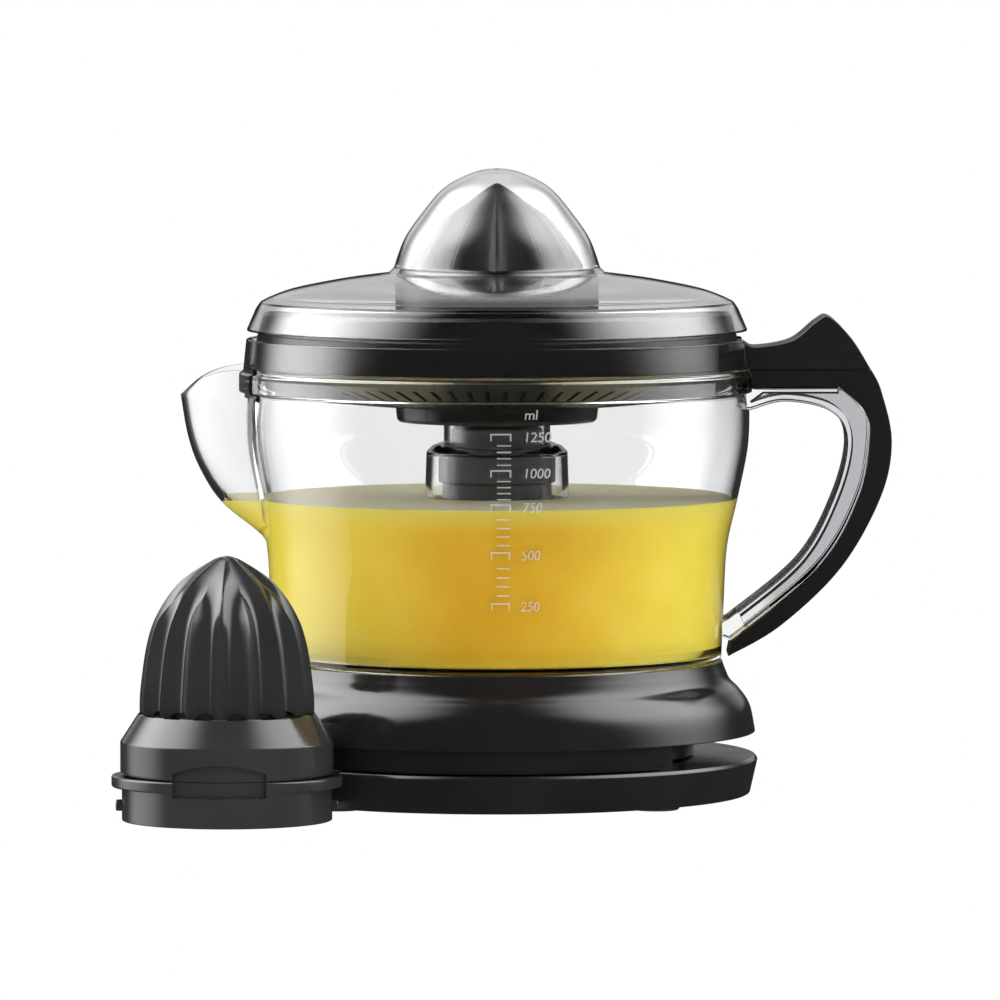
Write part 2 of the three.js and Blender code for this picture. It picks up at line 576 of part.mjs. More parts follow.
function jugShell() {
  const side = smooth(JUG_SIDE, 6);
  const inside = beside(side, JUG.wall).reverse();
  const c = COLUMN;
  const profile = [
    [JUG.foot_r, JUG.foot_z],
    ...side,
    [COLLAR.r, COLLAR.low],
    [COLLAR.r, COLLAR.high],
    [85, COLLAR.high + 0.6],
    [COLLAR.lip_r, COLLAR.lip_z],
    [COLLAR.lip_r - COLLAR.lip_wall, COLLAR.lip_z],
    [83.1, JUG.ledge_z + 0.8],
    [82.6, JUG.ledge_z],
    [JUG.ledge_r, JUG.ledge_z],
    [JUG.ledge_r, JUG.ledge_z - 1.5],
    ...inside.filter((p) => p.y < 135 && p.y > JUG.floor + 2),
    [72.2, JUG.floor],
    [c.low_r + 1.5, JUG.floor],
    [c.low_r, JUG.floor + 1.5],
    [c.r, c.shoulder_z - 2],
    [c.r - 2, c.shoulder_z],
    [c.neck_r, c.neck_z],
    [c.neck_r, c.top],
    [c.neck_r - c.wall, c.top],
    [c.neck_r - c.wall, c.neck_z - 1.8],
    [c.r - c.wall, c.shoulder_z - 3],
    [c.low_r - c.wall, JUG.under],
    [JUG.foot_r, JUG.under],
  ];
  return ringOf(profile);
}

function wholeJug() {
  const side = smooth(JUG_SIDE, 6);
  const room = turned([[0, 60], ...beside(side, JUG.wall / 2).filter((p) => p.y > 61), [83, 160], [0, 160]]);
  const additions = cut(join(spout(), clearHandle()), room);
  const way = block([-90, -PASSAGE.half_width, PASSAGE.low], [-60, PASSAGE.half_width, PASSAGE.high]);
  const passage = way.intersect(beak(SPOUT.wall, SPOUT.high));
  const notch = block([78, -NOTCH_HALF_WIDTH, COLLAR.high + 1], [92, NOTCH_HALF_WIDTH, 156]);
  const halfSeat = HANDLE_WIDTH / 2 + GAP;
  const seat = block([COVER_ROOT_X - GAP, -halfSeat, COVER_SEAT.low], [COVER_SEAT.out_x, halfSeat, COLLAR.high + 2]);
  return cut(join(jugShell(), additions), passage, notch, seat);
}

function handleCover() {
  const back = smooth(BACK, 12);
  const seat = smooth(SEAT, 10);
  const outline = [[COVER_ROOT_X, SEAM_Z], ...back, ...seat.slice().reverse(), [COVER_ROOT_X, COVER_SEAT.low + GAP]];
  const inner = beside(back, -CHANNEL.wall);
  const hollow = [[89, SEAM_Z - 2.2], [120, SEAM_Z - 2.2], ...inner.slice(2, -3), [92, 50], [89, 135]];
  const filled = slab(outline, HANDLE_WIDTH);
  return cut(filled, slab(hollow, 2 * CHANNEL.half_width));
}

place(jug, "jug", wholeJug(), CLEAR);
place(jug, "jug_handle_cover", handleCover(), BLACK);

// ---------------------------------------------------------------- strainer
const strainer = group();
const floorZ = (r) => SLOTS.floor_z - SLOTS.slope * (SLOTS.floor_r - r);

// A flat slotted disc, bent into a shallow cone.
function slottedFloor() {
  const disc = new THREE.Shape().absarc(0, 0, SLOTS.floor_r - 0.6, 0, 2 * Math.PI, false);
  disc.holes.push(new THREE.Path().absarc(0, 0, HUB.r - 1, 0, 2 * Math.PI, true));
  for (const [x, y] of around(SLOTS.count, 360 / SLOTS.count / 2, 1)) {
    const corner = (r, side) => new THREE.Vector2(x * r - (y * side * SLOTS.width) / 2, y * r + (x * side * SLOTS.width) / 2);
    const { inner, outer } = SLOTS;
    disc.holes.push(new THREE.Path([corner(inner, 1), corner(outer, 1), corner(outer, -1), corner(inner, -1)]));
  }
  const flat = new THREE.ExtrudeGeometry(disc, { depth: SLOTS.deep, bevelEnabled: false, curveSegments: ROUND / 2 });
  const points = flat.getAttribute("position");
  for (let i = 0; i < points.count; i++) {
    const r = Math.hypot(points.getX(i), points.getY(i));
    points.setZ(i, points.getZ(i) + floorZ(r));
  }
  return solid(flat);
}

function strainerRing() {
  return ringOf([
    [RING.r - RING.wall - 1.5, SLOTS.floor_z + 0.2],
    [JUG.ledge_r - 0.6, SLOTS.floor_z + 0.2],
    [JUG.ledge_r - 0.6, RING.low],
    [RING.r, RING.low],
    [RING.r, RING.mid],
    [80.4, 153.8],
    [RING.top_r + 0.5, RING.top - 1.2],
    [RING.top_r - 1, RING.top],
    [RING.top_r - RING.wall, RING.top],
    [RING.top_r - RING.wall + 2.6, 153.8],
    [RING.r - RING.wall, SLOTS.floor_z + 3.4],
    [RING.r - RING.wall - 1.5, SLOTS.floor_z + SLOTS.deep],
  ]);
}

function strainerHub() {
  const { r, wall } = HUB;
  return ringOf([
    [HUB.low_r, HUB.low],
    [HUB.low_r + 0.9, HUB.low + 1],
    [r, 131],
    [r, HUB.shoulder_z],
    [HUB.top_r, HUB.top],
    [HUB_TUBE.bore_r, HUB.top],
    [HUB_TUBE.bore_r, HUB_TUBE.low],
    [HUB_TUBE.r, HUB_TUBE.low],
    [HUB_TUBE.r, HUB.top - 2.4],
    [r - wall - 0.8, HUB.top - 3.2],
    [r - wall, HUB.shoulder_z - 2],
    [HUB.low_r - wall, HUB.low],
  ]);
}

function thumbRest() {
  const outline = [...smooth(THUMB, 12), [76, SEAM_Z + GAP]];
  const inside = turned([[0, 130], [RING.r - 1, 130], [RING.r - 1, RING.mid], [79.2, 153.8], [79.2, 170], [0, 170]]);
  return cut(slab(outline, HANDLE_WIDTH), inside);
}

place(strainer, "strainer", join(strainerRing(), slottedFloor(), strainerHub(), thumbRest()), DARK);

// ---------------------------------------------------------------- small cone and lid
function smallCone() {
  const body = reamer(SMALL_CREST, SMALL.ribs, SMALL.depth, SMALL.bottom, 2, -Math.PI / 2);
  const hub = rod(SMALL.hub_r, SMALL.hub_low, 194, 0, 0, 24);
  const cavity = turned([[0, SMALL_CAVITY[0][1]], ...SMALL_CAVITY, [0, SMALL_CAVITY.at(-1)[1]]], 36);
  const across = SHAFT.r + SHAFT.clear;
  const socket = solid(
    new THREE.CylinderGeometry(across, across, SMALL.socket_top - 160, 6)
      .rotateX(Math.PI / 2)
      .translate(0, 0, (SMALL.socket_top + 160) / 2),
  );
  return cut(join(cut(body, cavity), hub), socket);
}

function lidShell() {
  const outer = [...smooth(LID_DOME, 7), ...smooth(LID_TOP, 3), ...LID_BRIM.slice(1).map(v2)];
  const inner = beside(outer, -LID_WALL);
  inner[0].set(0, LID_DOME[0][1] - LID_WALL);
  inner.at(-1).set(LID_BRIM.at(-1)[0] - LID_WALL, LID_BRIM.at(-1)[1]);
  return turned([...outer, ...inner.reverse()]);
}

place(strainer, "small_cone", smallCone(), DARK);
place(strainer, "lid", lidShell(), CLEAR);

// ---------------------------------------------------------------- the large cone, standing beside the base
const spare = group();
spare.position.set(LARGE.x, LARGE.y, 0);

function fingerRecess(deep) {
  const { middle, half_width: half, low, side_top: sideTop, top } = FINGER;
  const arch = Array.from({ length: 9 }, (_, i) => {
    const across = 1 - i / 4;
    return [middle + half * across, sideTop + (top - sideTop) * (1 - across * across)];
  });
  const front = slab([[middle - half, low], [middle + half, low], ...arch], 12).translate([0, -LARGE.r, 0]);
  return cut(front, rod(deep, low - 1, top + 1, 0, 0, 40));
}

function largeCone() {
  const body = reamer(LARGE_CREST, LARGE.ribs, LARGE.depth, LARGE.foot - 3, 2, -Math.PI / 2);
  const skirt = turned([[0, LARGE.seam], [LARGE.r, LARGE.seam], [LARGE.r, LARGE.shoulder], [28.8, LARGE.foot], [0, LARGE.foot]]);
  const cavity = turned([[0, LARGE_CAVITY[0][1]], ...LARGE_CAVITY]);
  const turns = around(LARGE.ribs, -90 + 180 / LARGE.ribs, 1);
  const { inner, outer, width, low, high } = DRAIN;
  const drains = turns.map(([x, y]) => bar([x * inner, y * inner], [x * outer, y * outer], width, low, high));
  return cut(join(body, skirt), cavity, fingerRecess(FINGER.skirt_r), ...drains);
}

function largeConeRing() {
  const { r, wall } = LARGE_RING;
  const top = LARGE.seam - GAP;
  const ears = rod(1, LARGE_RING.ear_low, top, 0, 0, 40).scale([LARGE_RING.ear_r, LARGE_RING.ear_y, 1]);
  const [nubLow, nubHigh] = LARGE_RING.nub;
  const nubs = block(
    [-LARGE_RING.nub_r, -LARGE_RING.nub_half, nubLow],
    [LARGE_RING.nub_r, LARGE_RING.nub_half, nubHigh],
  );
  const solidRing = cut(join(rod(r, 0, top, 0, 0, 40), ears, nubs), fingerRecess(FINGER.ring_r));
  return cut(solidRing, rod(r - wall, -1, top + 1, 0, 0, 40));
}

place(spare, "large_cone", largeCone(), DARK);
place(spare, "large_cone_ring", largeConeRing(), DARK);

// ---------------------------------------------------------------- frame
const reachX = { low: LARGE.x - LARGE_RING.ear_r, high: 131.7 };
const reachY = { low: LARGE.y - LARGE.r, high: PLATE.r };
product.position.set(-(reachX.low + reachX.high) / 2, -(reachY.low + reachY.high) / 2, 0);

export default product;
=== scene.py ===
import math

import bmesh
import bpy
from mathutils import Matrix, Vector


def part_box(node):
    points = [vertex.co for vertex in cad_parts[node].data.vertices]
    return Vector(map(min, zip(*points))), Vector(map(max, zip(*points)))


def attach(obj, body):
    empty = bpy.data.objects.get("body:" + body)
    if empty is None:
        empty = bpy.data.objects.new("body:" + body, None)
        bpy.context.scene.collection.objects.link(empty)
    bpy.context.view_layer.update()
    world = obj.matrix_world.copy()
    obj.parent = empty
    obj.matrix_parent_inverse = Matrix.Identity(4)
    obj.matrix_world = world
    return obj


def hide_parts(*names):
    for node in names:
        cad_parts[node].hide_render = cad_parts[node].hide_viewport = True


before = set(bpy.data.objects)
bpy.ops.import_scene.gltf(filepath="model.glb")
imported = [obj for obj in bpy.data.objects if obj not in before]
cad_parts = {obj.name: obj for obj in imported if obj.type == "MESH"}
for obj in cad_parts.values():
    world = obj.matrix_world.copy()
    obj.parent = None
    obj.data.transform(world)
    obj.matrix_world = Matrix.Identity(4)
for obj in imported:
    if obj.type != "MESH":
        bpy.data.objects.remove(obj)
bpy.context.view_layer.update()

# Outlines are in millimetres about the drive axis, or about the spare cone's own axis. Every piece is
# built there and then carried to its place in the frame, which comes from the CAD nodes.
MM = 0.001
ROUND = 160
GAP = 0.3
WALL = 2.5


def middle(node):
    low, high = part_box(node)
    return Vector(((low.x + high.x) / 2, (low.y + high.y) / 2, 0.0))


DRIVE = middle("drive_shaft")
SPARE = middle("large_cone")

PLATE = dict(z=1.3, floor=3.3, low_r=84.8, r=87.4, shoulder_z=12.7, top=13.9, hole_r=60)
GROOVE = dict(inner_r=66, top=21.9, block_r=84.2, half_deg=43.5)
HOUSING_SIDE = [(86.6, 21.9), (84.8, 30.5), (81.4, 35.8), (78.1, 39.2), (76.4, 42.9), (75.4, 45.6)]
DECK = dict(r=73.8, top=46.3, under=43.3, hole_r=20.4)
FOOT = dict(r=8, height=2, circle=74, recess=1)
SCREW = dict(circle=54, first_deg=62, count=3, head_r=3.6)
VENT = dict(count=5, pitch=9, length=34, width=2.6, y=-34)
GLAND = dict(r=3, z=18)

JUG_SIDE = [(75.2, 46.6), (76, 66), (77.1, 84.1), (80.4, 99.2), (83.8, 115.9), (84.5, 127), (84.1, 135.3)]
JUG = dict(wall=2, foot_r=71.8, foot_z=46.6, under=46.9, floor=48.2, ledge_z=143.2, ledge_r=80.9)
COLLAR = dict(r=86, low=136, high=141.9, lip_r=83.9, lip_z=153.4, lip_wall=1.6)
COLUMN = dict(low_r=26, r=23.6, shoulder_z=117.5, neck_r=17.8, neck_z=118.9, top=125, wall=2)
SPOUT_REACH = [(75, 80), (78.7, 87.4), (92.1, 98.5), (99.5, 109.9), (103.5, 120.9), (105.9, 134.6)]
SPOUT_RIM = [(-105.9, 134.6), (-99.5, 140), (-92, 143), (-83, 144)]
SPOUT = dict(low=80, high=148, half=33, low_half=14, wall=2, root=70, beak=1.7)
PASSAGE = dict(half=16, low=92, high=134)

HANDLE_WIDTH = 26
LOOP = [(84.8, 130), (96.5, 132.8), (111.6, 129.3), (116.6, 119.3), (112.2, 100.8), (100.5, 79.7),
        (77.4, 60.3)]
SEAT = [(114.2, 137.7), (122.9, 129.3), (124.6, 120.9), (120.9, 100.8), (107.5, 77.4), (78.1, 52.6)]
BACK = [(125, 143.2), (128.3, 136), (131.7, 119.3), (128, 100.8), (114.9, 77.4), (94.8, 58), (77.1, 47.6)]
SEAM_Z = 143.2
COVER_ROOT_X = 84.7
COVER_SEAT = dict(low=137.5, out_x=92)
CHANNEL = dict(half=10.6, wall=2.2)

RING = dict(r=81.7, low=143.5, mid=144.4, waist_r=80.4, waist_z=153.8, top_r=77.7, top=162.8, wall=2.3)
SLOTS = dict(count=72, inner=38, outer=70, width=1.5, floor_r=80, floor_z=142.2, slope=0.254, deep=2)
HUB = dict(r=34, low_r=32.6, low=125.6, shoulder_z=172.6, top_r=31.5, top=175.2, wall=2)
HUB_TUBE = dict(r=9.8, bore_r=7.7, low=128)
THUMB = [(76, 152.7), (82, 152.6), (86.4, 150.9), (98.2, 153.1), (106.5, 159.5), (111, 160.9), (118.3, 153.8),
         (124.6, 143.7)]
NOTCH_HALF = 16.5

LID_BRIM = [(76.4, 167.2), (79.1, 165.8), (80.7, 163.5), (83.9, 156.1)]
LID_TOP = [(36.2, 175.5), (51.3, 173.5), (68, 170.2), (76.4, 167.2)]
LID_DOME = [(0, 210.4), (7.7, 209), (17.8, 203.7), (26.1, 194), (31.2, 186.3), (34.5, 177.2)]
LID_WALL = 1.6

SMALL = dict(ribs=12, depth=0.12, bottom=175.6, hub_r=7.3, hub_low=166)
SMALL_CREST = [(29.5, 176.4), (24.5, 184.9), (17.8, 193), (12.1, 197.3), (9.3, 199.2), (4.4, 203.3),
               (0.8, 205.2)]
SMALL_CAVITY = [(25, 175), (20.3, 183), (14.5, 189.5), (9, 192)]
LARGE = dict(seam=15.2, r=34.8, shoulder=25.8, foot=35.1, crest_r=28.8)
LARGE_CREST = [(28.6, 35.1), (28.3, 42.7), (26.2, 57.2), (22.6, 67.5), (15.4, 77.6), (5.2, 84.6), (0.8, 86.2)]
LARGE_CAVITY = [(32.4, 14), (32.4, 25), (22.4, 34), (20.2, 55), (16, 66), (10, 74), (0, 78)]
LARGE_RING = dict(r=34.3, wall=2.8, ear_r=37.7, ear_y=33.6, ear_low=11, nub_r=36.3, peg_r=1.9,
                  peg_z=4.8)
LARGE_RIBS = dict(turn_deg=-93, lower=16, upper=8, depth=0.15, meet=0.46, blend=0.22)
DRAIN = dict(inner=22, outer=32, half=3.2, low=34.7, rise=2.0)
FINGER = dict(middle=-1.6, half=15.2, low=9.8, side_top=17.6, top=20.6, ring_r=32.7, skirt_r=33.2)

TOWER = dict(flange_r=26, flange_low=40.4, flange_top=43, low_r=19.8, r=18.2, collar_low=105.5)
TOWER_TOP = dict(collar_r=19.6, collar_high=114.4, neck_r=15.2, top=123.6, bush_r=7.3, bush_low=116)
SHAFT_R = 4

JUICE_LEVEL = 100.0
JUICE_GAP = -0.1  # the juice wets the wall, so no air is left between them

# millilitres and the height of each mark, and the ticks' places as shares of the way to the next mark
SCALE_MARKS = {250: 69.7, 500: 86.5, 750: 102.4, 1000: 113.7, 1250: 125.6}
SCALE_TICKS = (0.155, 0.335, 0.51, 0.69)
SCALE_LINE = dict(start=-2.2, end=4.7, half=0.25, hook=0.5, hook_drop=2.2)
SCALE_TICK = dict(start=0, end=4.6, half=0.2)
SCALE_TEXT = dict(x=8.5, drop=2.5, unit_x=8.8, unit_z=130.4, size=4.6, shear=0.1, extrude=0.26)
SCALE_DEPTH = (-0.25, 0.28)
SCALE_TURN_R = 84

# the six faces of a box whose points are a lower and an upper ring of four
BOX_FACES = ((0, 1, 2, 3), (7, 6, 5, 4), (0, 4, 5, 1), (1, 5, 6, 2), (2, 6, 7, 3), (3, 7, 4, 0))

# metres from the drive axis, and the width of the picture at the point aimed at
CAMERA = dict(aside=0.001, back=3.1, height=0.285, aim_z=0.0992, sensor=36, picture_width=0.335)
FLOOR_HALF = 9.0
# name, place, aim, size and radiance
SOFTBOXES = [
    ("softbox_left", (-1.5, 0.1, 0.6), (0, 0, 0.1), (0.9, 1.5), 2.6),
    ("softbox_right", (1.5, 0.1, 0.6), (0, 0, 0.1), (0.9, 1.5), 2.4),
    ("softbox_top", (0.0, -0.2, 1.9), (0, 0, 0), (1.6, 1.2), 0.8),
]
ROOM_TONE = 0.03
MATT_TONE = 1.45
# the lobe's edge and middle as cosines, its flattening and radiance, and the heights between which it begins
BACKDROP = dict(edge=0.76, middle=0.96, flatten=0.5, radiance=0.62, foot=(0.07, 0.15))
# azimuth from the camera's side, elevation, flattening of the lobe, its edge and middle, and its radiance
LAMPS = [
    (-100, 46, 0.8, 0.60, 1.0, 6.5),
    (98, 46, 0.8, 0.62, 1.0, 5.6),
    (-103, 4, 0.6, 0.75, 1.0, 2.0),
]
LAMP_FALL = 2.0
LIGHT_BOUNCES = 24


# ---------------------------------------------------------------- curves in the plane
def smooth(points, steps):
    """A uniform Catmull-Rom curve through the points."""
    last = len(points) - 1
    out = []
    for i in range(last * steps + 1):
        k = min(i // steps, last - 1)
        t = i / steps - k
        p0, p1 = points[max(k - 1, 0)], points[k]
        p2, p3 = points[k + 1], points[min(k + 2, last)]
        at = []
        for a, b, c, d in zip(p0, p1, p2, p3):
            v0, v1 = (c - a) / 2, (d - b) / 2
            at.append((2 * b - 2 * c + v0 + v1) * t**3 + (-3 * b + 3 * c - 2 * v0 - v1) * t * t + v0 * t + b)
        out.append(tuple(at))
    return out


def beside(path, distance):
    """The path moved sideways, to the left of its direction."""
    out = []
    for i, p in enumerate(path):
        a, b = path[max(i - 1, 0)], path[min(i + 1, len(path) - 1)]
        length = math.hypot(b[0] - a[0], b[1] - a[1])
        out.append((p[0] - (b[1] - a[1]) / length * distance, p[1] + (b[0] - a[0]) / length * distance))
    return out


def softened(profile, radius, steps=4, least_deg=25):
    """A closed outline with each sharp corner turned into a small curve."""
    out = []
    n = len(profile)
    for i, p in enumerate(profile):
        b = Vector(p)
        u, v = Vector(profile[i - 1]) - b, Vector(profile[(i + 1) % n]) - b
        turn = math.pi - u.angle(v, math.pi)
        if abs(p[0]) < 1e-6 or turn < math.radians(least_deg):
            out.append(p)
            continue
        reach = min(radius * math.tan(turn / 2), 0.45 * u.length, 0.45 * v.length)
        start, end = b + u.normalized() * reach, b + v.normalized() * reach
        for k in range(steps + 1):
            t = k / steps
            out.append(tuple(start * (1 - t) ** 2 + b * 2 * t * (1 - t) + end * t * t))
    return out


def on_circle(count, first_deg, radius):
    turns = [math.radians(first_deg) + 2 * math.pi * i / count for i in range(count)]
    return [(radius * math.cos(t), radius * math.sin(t)) for t in turns]


# ---------------------------------------------------------------- solids
def solid(name, points, faces, origin=DRIVE):
    """A mesh object from points in millimetres, with its faces turned outwards."""
    mesh = bpy.data.meshes.new(name)
    mesh.from_pydata([tuple(Vector(p) * MM + origin) for p in points], [], faces)
    bm = bmesh.new()
    bm.from_mesh(mesh)
    bmesh.ops.remove_doubles(bm, verts=bm.verts, dist=1e-7)
    bmesh.ops.recalc_face_normals(bm, faces=bm.faces)
    bm.to_mesh(mesh)
    bm.free()
    obj = bpy.data.objects.new(name, mesh)
    bpy.context.scene.collection.objects.link(obj)
    return obj


def turned(name, profile, facets=ROUND, origin=DRIVE):
    """A closed outline of (radius, height) turned round the axis."""
    points, rows, faces = [], [], []
    for r, z in profile:
        if r < 1e-6:
            rows.append([len(points)] * facets)
            points.append((0, 0, z))
            continue
        rows.append(range(len(points), len(points) + facets))
        turns = [2 * math.pi * i / facets for i in range(facets)]
        points += [(r * math.cos(t), r * math.sin(t), z) for t in turns]
    for low, high in zip(rows, rows[1:] + rows[:1]):
        for i in range(facets):
            j = (i + 1) % facets
            face = list(dict.fromkeys((low[i], low[j], high[j], high[i])))
            if len(face) > 2:
                faces.append(face)
    return solid(name, points, faces, origin)


def slab(name, outline, width, origin=DRIVE):
    """An outline of (x, z) with a width across Y."""
    n = len(outline)
    points = [(x, side * width / 2, z) for side in (-1, 1) for x, z in outline]
    faces = [list(range(n)), list(range(2 * n - 1, n - 1, -1))]
    faces += [[i, (i + 1) % n, n + (i + 1) % n, n + i] for i in range(n)]
    return solid(name, points, faces, origin)


def raised(name, outline, low, high, origin=DRIVE):
    """An outline of (x, y) raised from low to high."""
    n = len(outline)
    points = [(x, y, z) for z in (low, high) for x, y in outline]
    faces = [list(range(n)), list(range(2 * n - 1, n - 1, -1))]
    faces += [[i, (i + 1) % n, n + (i + 1) % n, n + i] for i in range(n)]
    return solid(name, points, faces, origin)


def block(name, low, high, origin=DRIVE):
    outline = [(low[0], low[1]), (high[0], low[1]), (high[0], high[1]), (low[0], high[1])]
    return raised(name, outline, low[2], high[2], origin)


def rod(name, r, low, high, x=0.0, y=0.0, facets=40, origin=DRIVE):
    outline = [(x + px, y + py) for px, py in on_circle(facets, 0, r)]
    return raised(name, outline, low, high, origin)


def loft(name, rings, origin=DRIVE):
    """Rings of equal point counts joined in order, with a cap on each end."""
    n = len(rings[0])
    points = [p for ring in rings for p in ring]
    faces = [list(range(n)), list(range(len(points) - n, len(points)))]
    for k in range(len(rings) - 1):
        for i in range(n):
            j = (i + 1) % n
            faces.append([k * n + i, k * n + j, k * n + n + j, k * n + n + i])
    return solid(name, points, faces, origin)


def settle(obj):
    """Puts the modifiers' result into the object's own mesh."""
    bpy.context.view_layer.update()
    evaluated = obj.evaluated_get(bpy.context.evaluated_depsgraph_get())
    mesh = bpy.data.meshes.new_from_object(evaluated)
    obj.modifiers.clear()
    obj.data = mesh
    return obj


def bevelled(obj, width, segments=3, angle_deg=40):
    bevel = obj.modifiers.new("bevel", "BEVEL")
    bevel.width = width * MM
    bevel.segments = segments
    bevel.limit_method = "ANGLE"
    bevel.angle_limit = math.radians(angle_deg)
    bevel.use_clamp_overlap = True
    bevel.miter_outer = "MITER_ARC"
    return settle(obj)


def combine(whole, how, others):
    for other in others:
        boolean = whole.modifiers.new("boolean", "BOOLEAN")
        boolean.solver = "MANIFOLD"
        boolean.operation = how
        boolean.object = other
        settle(whole)
        bpy.data.objects.remove(other)
    return whole


def joined(whole, *others):
    return combine(whole, "UNION", others)


def cut(whole, *others):
    return combine(whole, "DIFFERENCE", others)


def kept(whole, *others):
    return combine(whole, "INTERSECT", others)


# ---------------------------------------------------------------- materials
def graph(name):
    material = bpy.data.materials.new(name)
    material.use_nodes = True
    tree = material.node_tree
    return material, tree, tree.nodes["Principled BSDF"]


def link(tree, a, b):
    tree.links.new(a, b)


def place_of(tree):
    return tree.nodes.new("ShaderNodeTexCoord").outputs["Object"]


def noise(tree, scale, detail=3.0, roughness=0.55, source=None):
    node = tree.nodes.new("ShaderNodeTexNoise")
    node.inputs["Scale"].default_value = scale
    node.inputs["Detail"].default_value = detail
    node.inputs["Roughness"].default_value = roughness
    link(tree, source or place_of(tree), node.inputs["Vector"])
    return node.outputs["Fac"]


def ramp(tree, value, stops):
    node = tree.nodes.new("ShaderNodeValToRGB")
    band = node.color_ramp
    while len(band.elements) < len(stops):
        band.elements.new(0.5)
    for element, (at, colour) in zip(band.elements, stops):
        element.position = at
        element.color = (*colour, 1.0)
    link(tree, value, node.inputs["Fac"])
    return node.outputs["Color"]


def span(tree, value, low, high, start=0.3, end=0.7):
    node = tree.nodes.new("ShaderNodeMapRange")
    node.inputs["From Min"].default_value = start
    node.inputs["From Max"].default_value = end
    node.inputs["To Min"].default_value = low
    node.inputs["To Max"].default_value = high
    link(tree, value, node.inputs["Value"])
    return node.outputs["Result"]


def component(tree, vector, axis):
    node = tree.nodes.new("ShaderNodeSeparateXYZ")
    link(tree, vector, node.inputs["Vector"])
    return node.outputs[axis]


def along(tree, axis):
    return component(tree, place_of(tree), axis)


def maths(tree, operation, *values):
    node = tree.nodes.new("ShaderNodeMath")
    node.operation = operation
    for socket, value in zip(node.inputs, values):
        if isinstance(value, (int, float)):
            socket.default_value = value
        else:
            link(tree, value, socket)
    return node.outputs["Value"]


def bounced(tree, path, depth):
    """0 for a ray that hasn't bounced in this way yet, and 1 for one that has."""
    return maths(tree, "MINIMUM", path.outputs[depth], 1.0)


def blended(tree, factor, a, b):
    node = tree.nodes.new("ShaderNodeMix")
    node.data_type = "RGBA"
    link(tree, factor, node.inputs["Factor"])
    for socket, value in (("A", a), ("B", b)):
        if isinstance(value, tuple):
            node.inputs[socket].default_value = (*value, 1)
        else:
            link(tree, value, node.inputs[socket])
    return node.outputs["Result"]


def bumped(tree, shader, height, strength, depth):
    node = tree.nodes.new("ShaderNodeBump")
    node.inputs["Strength"].default_value = strength
    node.inputs["Distance"].default_value = depth
    link(tree, height, node.inputs["Height"])
    link(tree, node.outputs["Normal"], shader.inputs["Normal"])


def moulded(name, dark, light, rough, grain=1400, grain_depth=2e-5, waviness=0.0, shine=0.5):
    """A moulded plastic: slow change of tone, uneven polish, and a fine grain."""
    material, tree, shader = graph(name)
    slow = noise(tree, 28, 4)
    link(tree, ramp(tree, slow, [(0.3, dark), (0.7, light)]), shader.inputs["Base Color"])
    wear = noise(tree, 60, 6, 0.65)
    link(tree, span(tree, wear, *rough), shader.inputs["Roughness"])
    shader.inputs["IOR"].default_value = 1.5
    shader.inputs["Specular IOR Level"].default_value = shine
    height = noise(tree, grain, 2)
    if waviness:
        height = maths(tree, "MULTIPLY_ADD", noise(tree, 45, 1), waviness, height)
    bumped(tree, shader, height, 0.25, grain_depth)
    return material


def brushed(name, dark, light, rough, stretch=(1, 1, 30), metallic=1.0):
    """A metal with fine lines along one direction."""
    material, tree, shader = graph(name)
    mapping = tree.nodes.new("ShaderNodeMapping")
    mapping.inputs["Scale"].default_value = stretch
    link(tree, place_of(tree), mapping.inputs["Vector"])
    lines = noise(tree, 300, 4, 0.6, mapping.outputs["Vector"])
    link(tree, ramp(tree, lines, [(0.3, dark), (0.7, light)]), shader.inputs["Base Color"])
    link(tree, span(tree, noise(tree, 90, 4), *rough), shader.inputs["Roughness"])
    shader.inputs["Metallic"].default_value = metallic
    bumped(tree, shader, lines, 0.3, 2e-5)
    return material


def clear_plastic(name, tint, rough, ior=1.49, wave=3e-5, see=1.0, shade_painted_from=None):
    """A clear moulding with slightly uneven polish, which lets lamps shine through; beyond an optional X its
    colour turns grey as painted shade.
    """
    material, tree, shader = graph(name)
    tone = noise(tree, 20, 2)
    colour = ramp(tree, tone, [(0.3, tint), (0.7, (0.985, 0.99, 0.99))])
    if shade_painted_from:
        # painted shade: from the given X outwards, over 6 mm, the clear colour turns to grey
        start = DRIVE.x + shade_painted_from * MM
        painted_shade = span(tree, along(tree, "X"), 0.0, 1.0, start, start + 6 * MM)
        colour = blended(tree, painted_shade, colour, (0.74, 0.74, 0.76))
    link(tree, colour, shader.inputs["Base Color"])
    link(tree, span(tree, noise(tree, 70, 4), *rough), shader.inputs["Roughness"])
    shader.inputs["Transmission Weight"].default_value = see
    shader.inputs["IOR"].default_value = ior
    bumped(tree, shader, noise(tree, 32, 1), 0.35, wave)
    see_through = tree.nodes.new("ShaderNodeBsdfTransparent")
    see_through.inputs["Color"].default_value = (0.93, 0.94, 0.945, 1)
    mix = tree.nodes.new("ShaderNodeMixShader")
    path = tree.nodes.new("ShaderNodeLightPath")
    link(tree, path.outputs["Is Shadow Ray"], mix.inputs["Fac"])
    link(tree, shader.outputs["BSDF"], mix.inputs[1])
    link(tree, see_through.outputs["BSDF"], mix.inputs[2])
    link(tree, mix.outputs["Shader"], tree.nodes["Material Output"].inputs["Surface"])
    return material


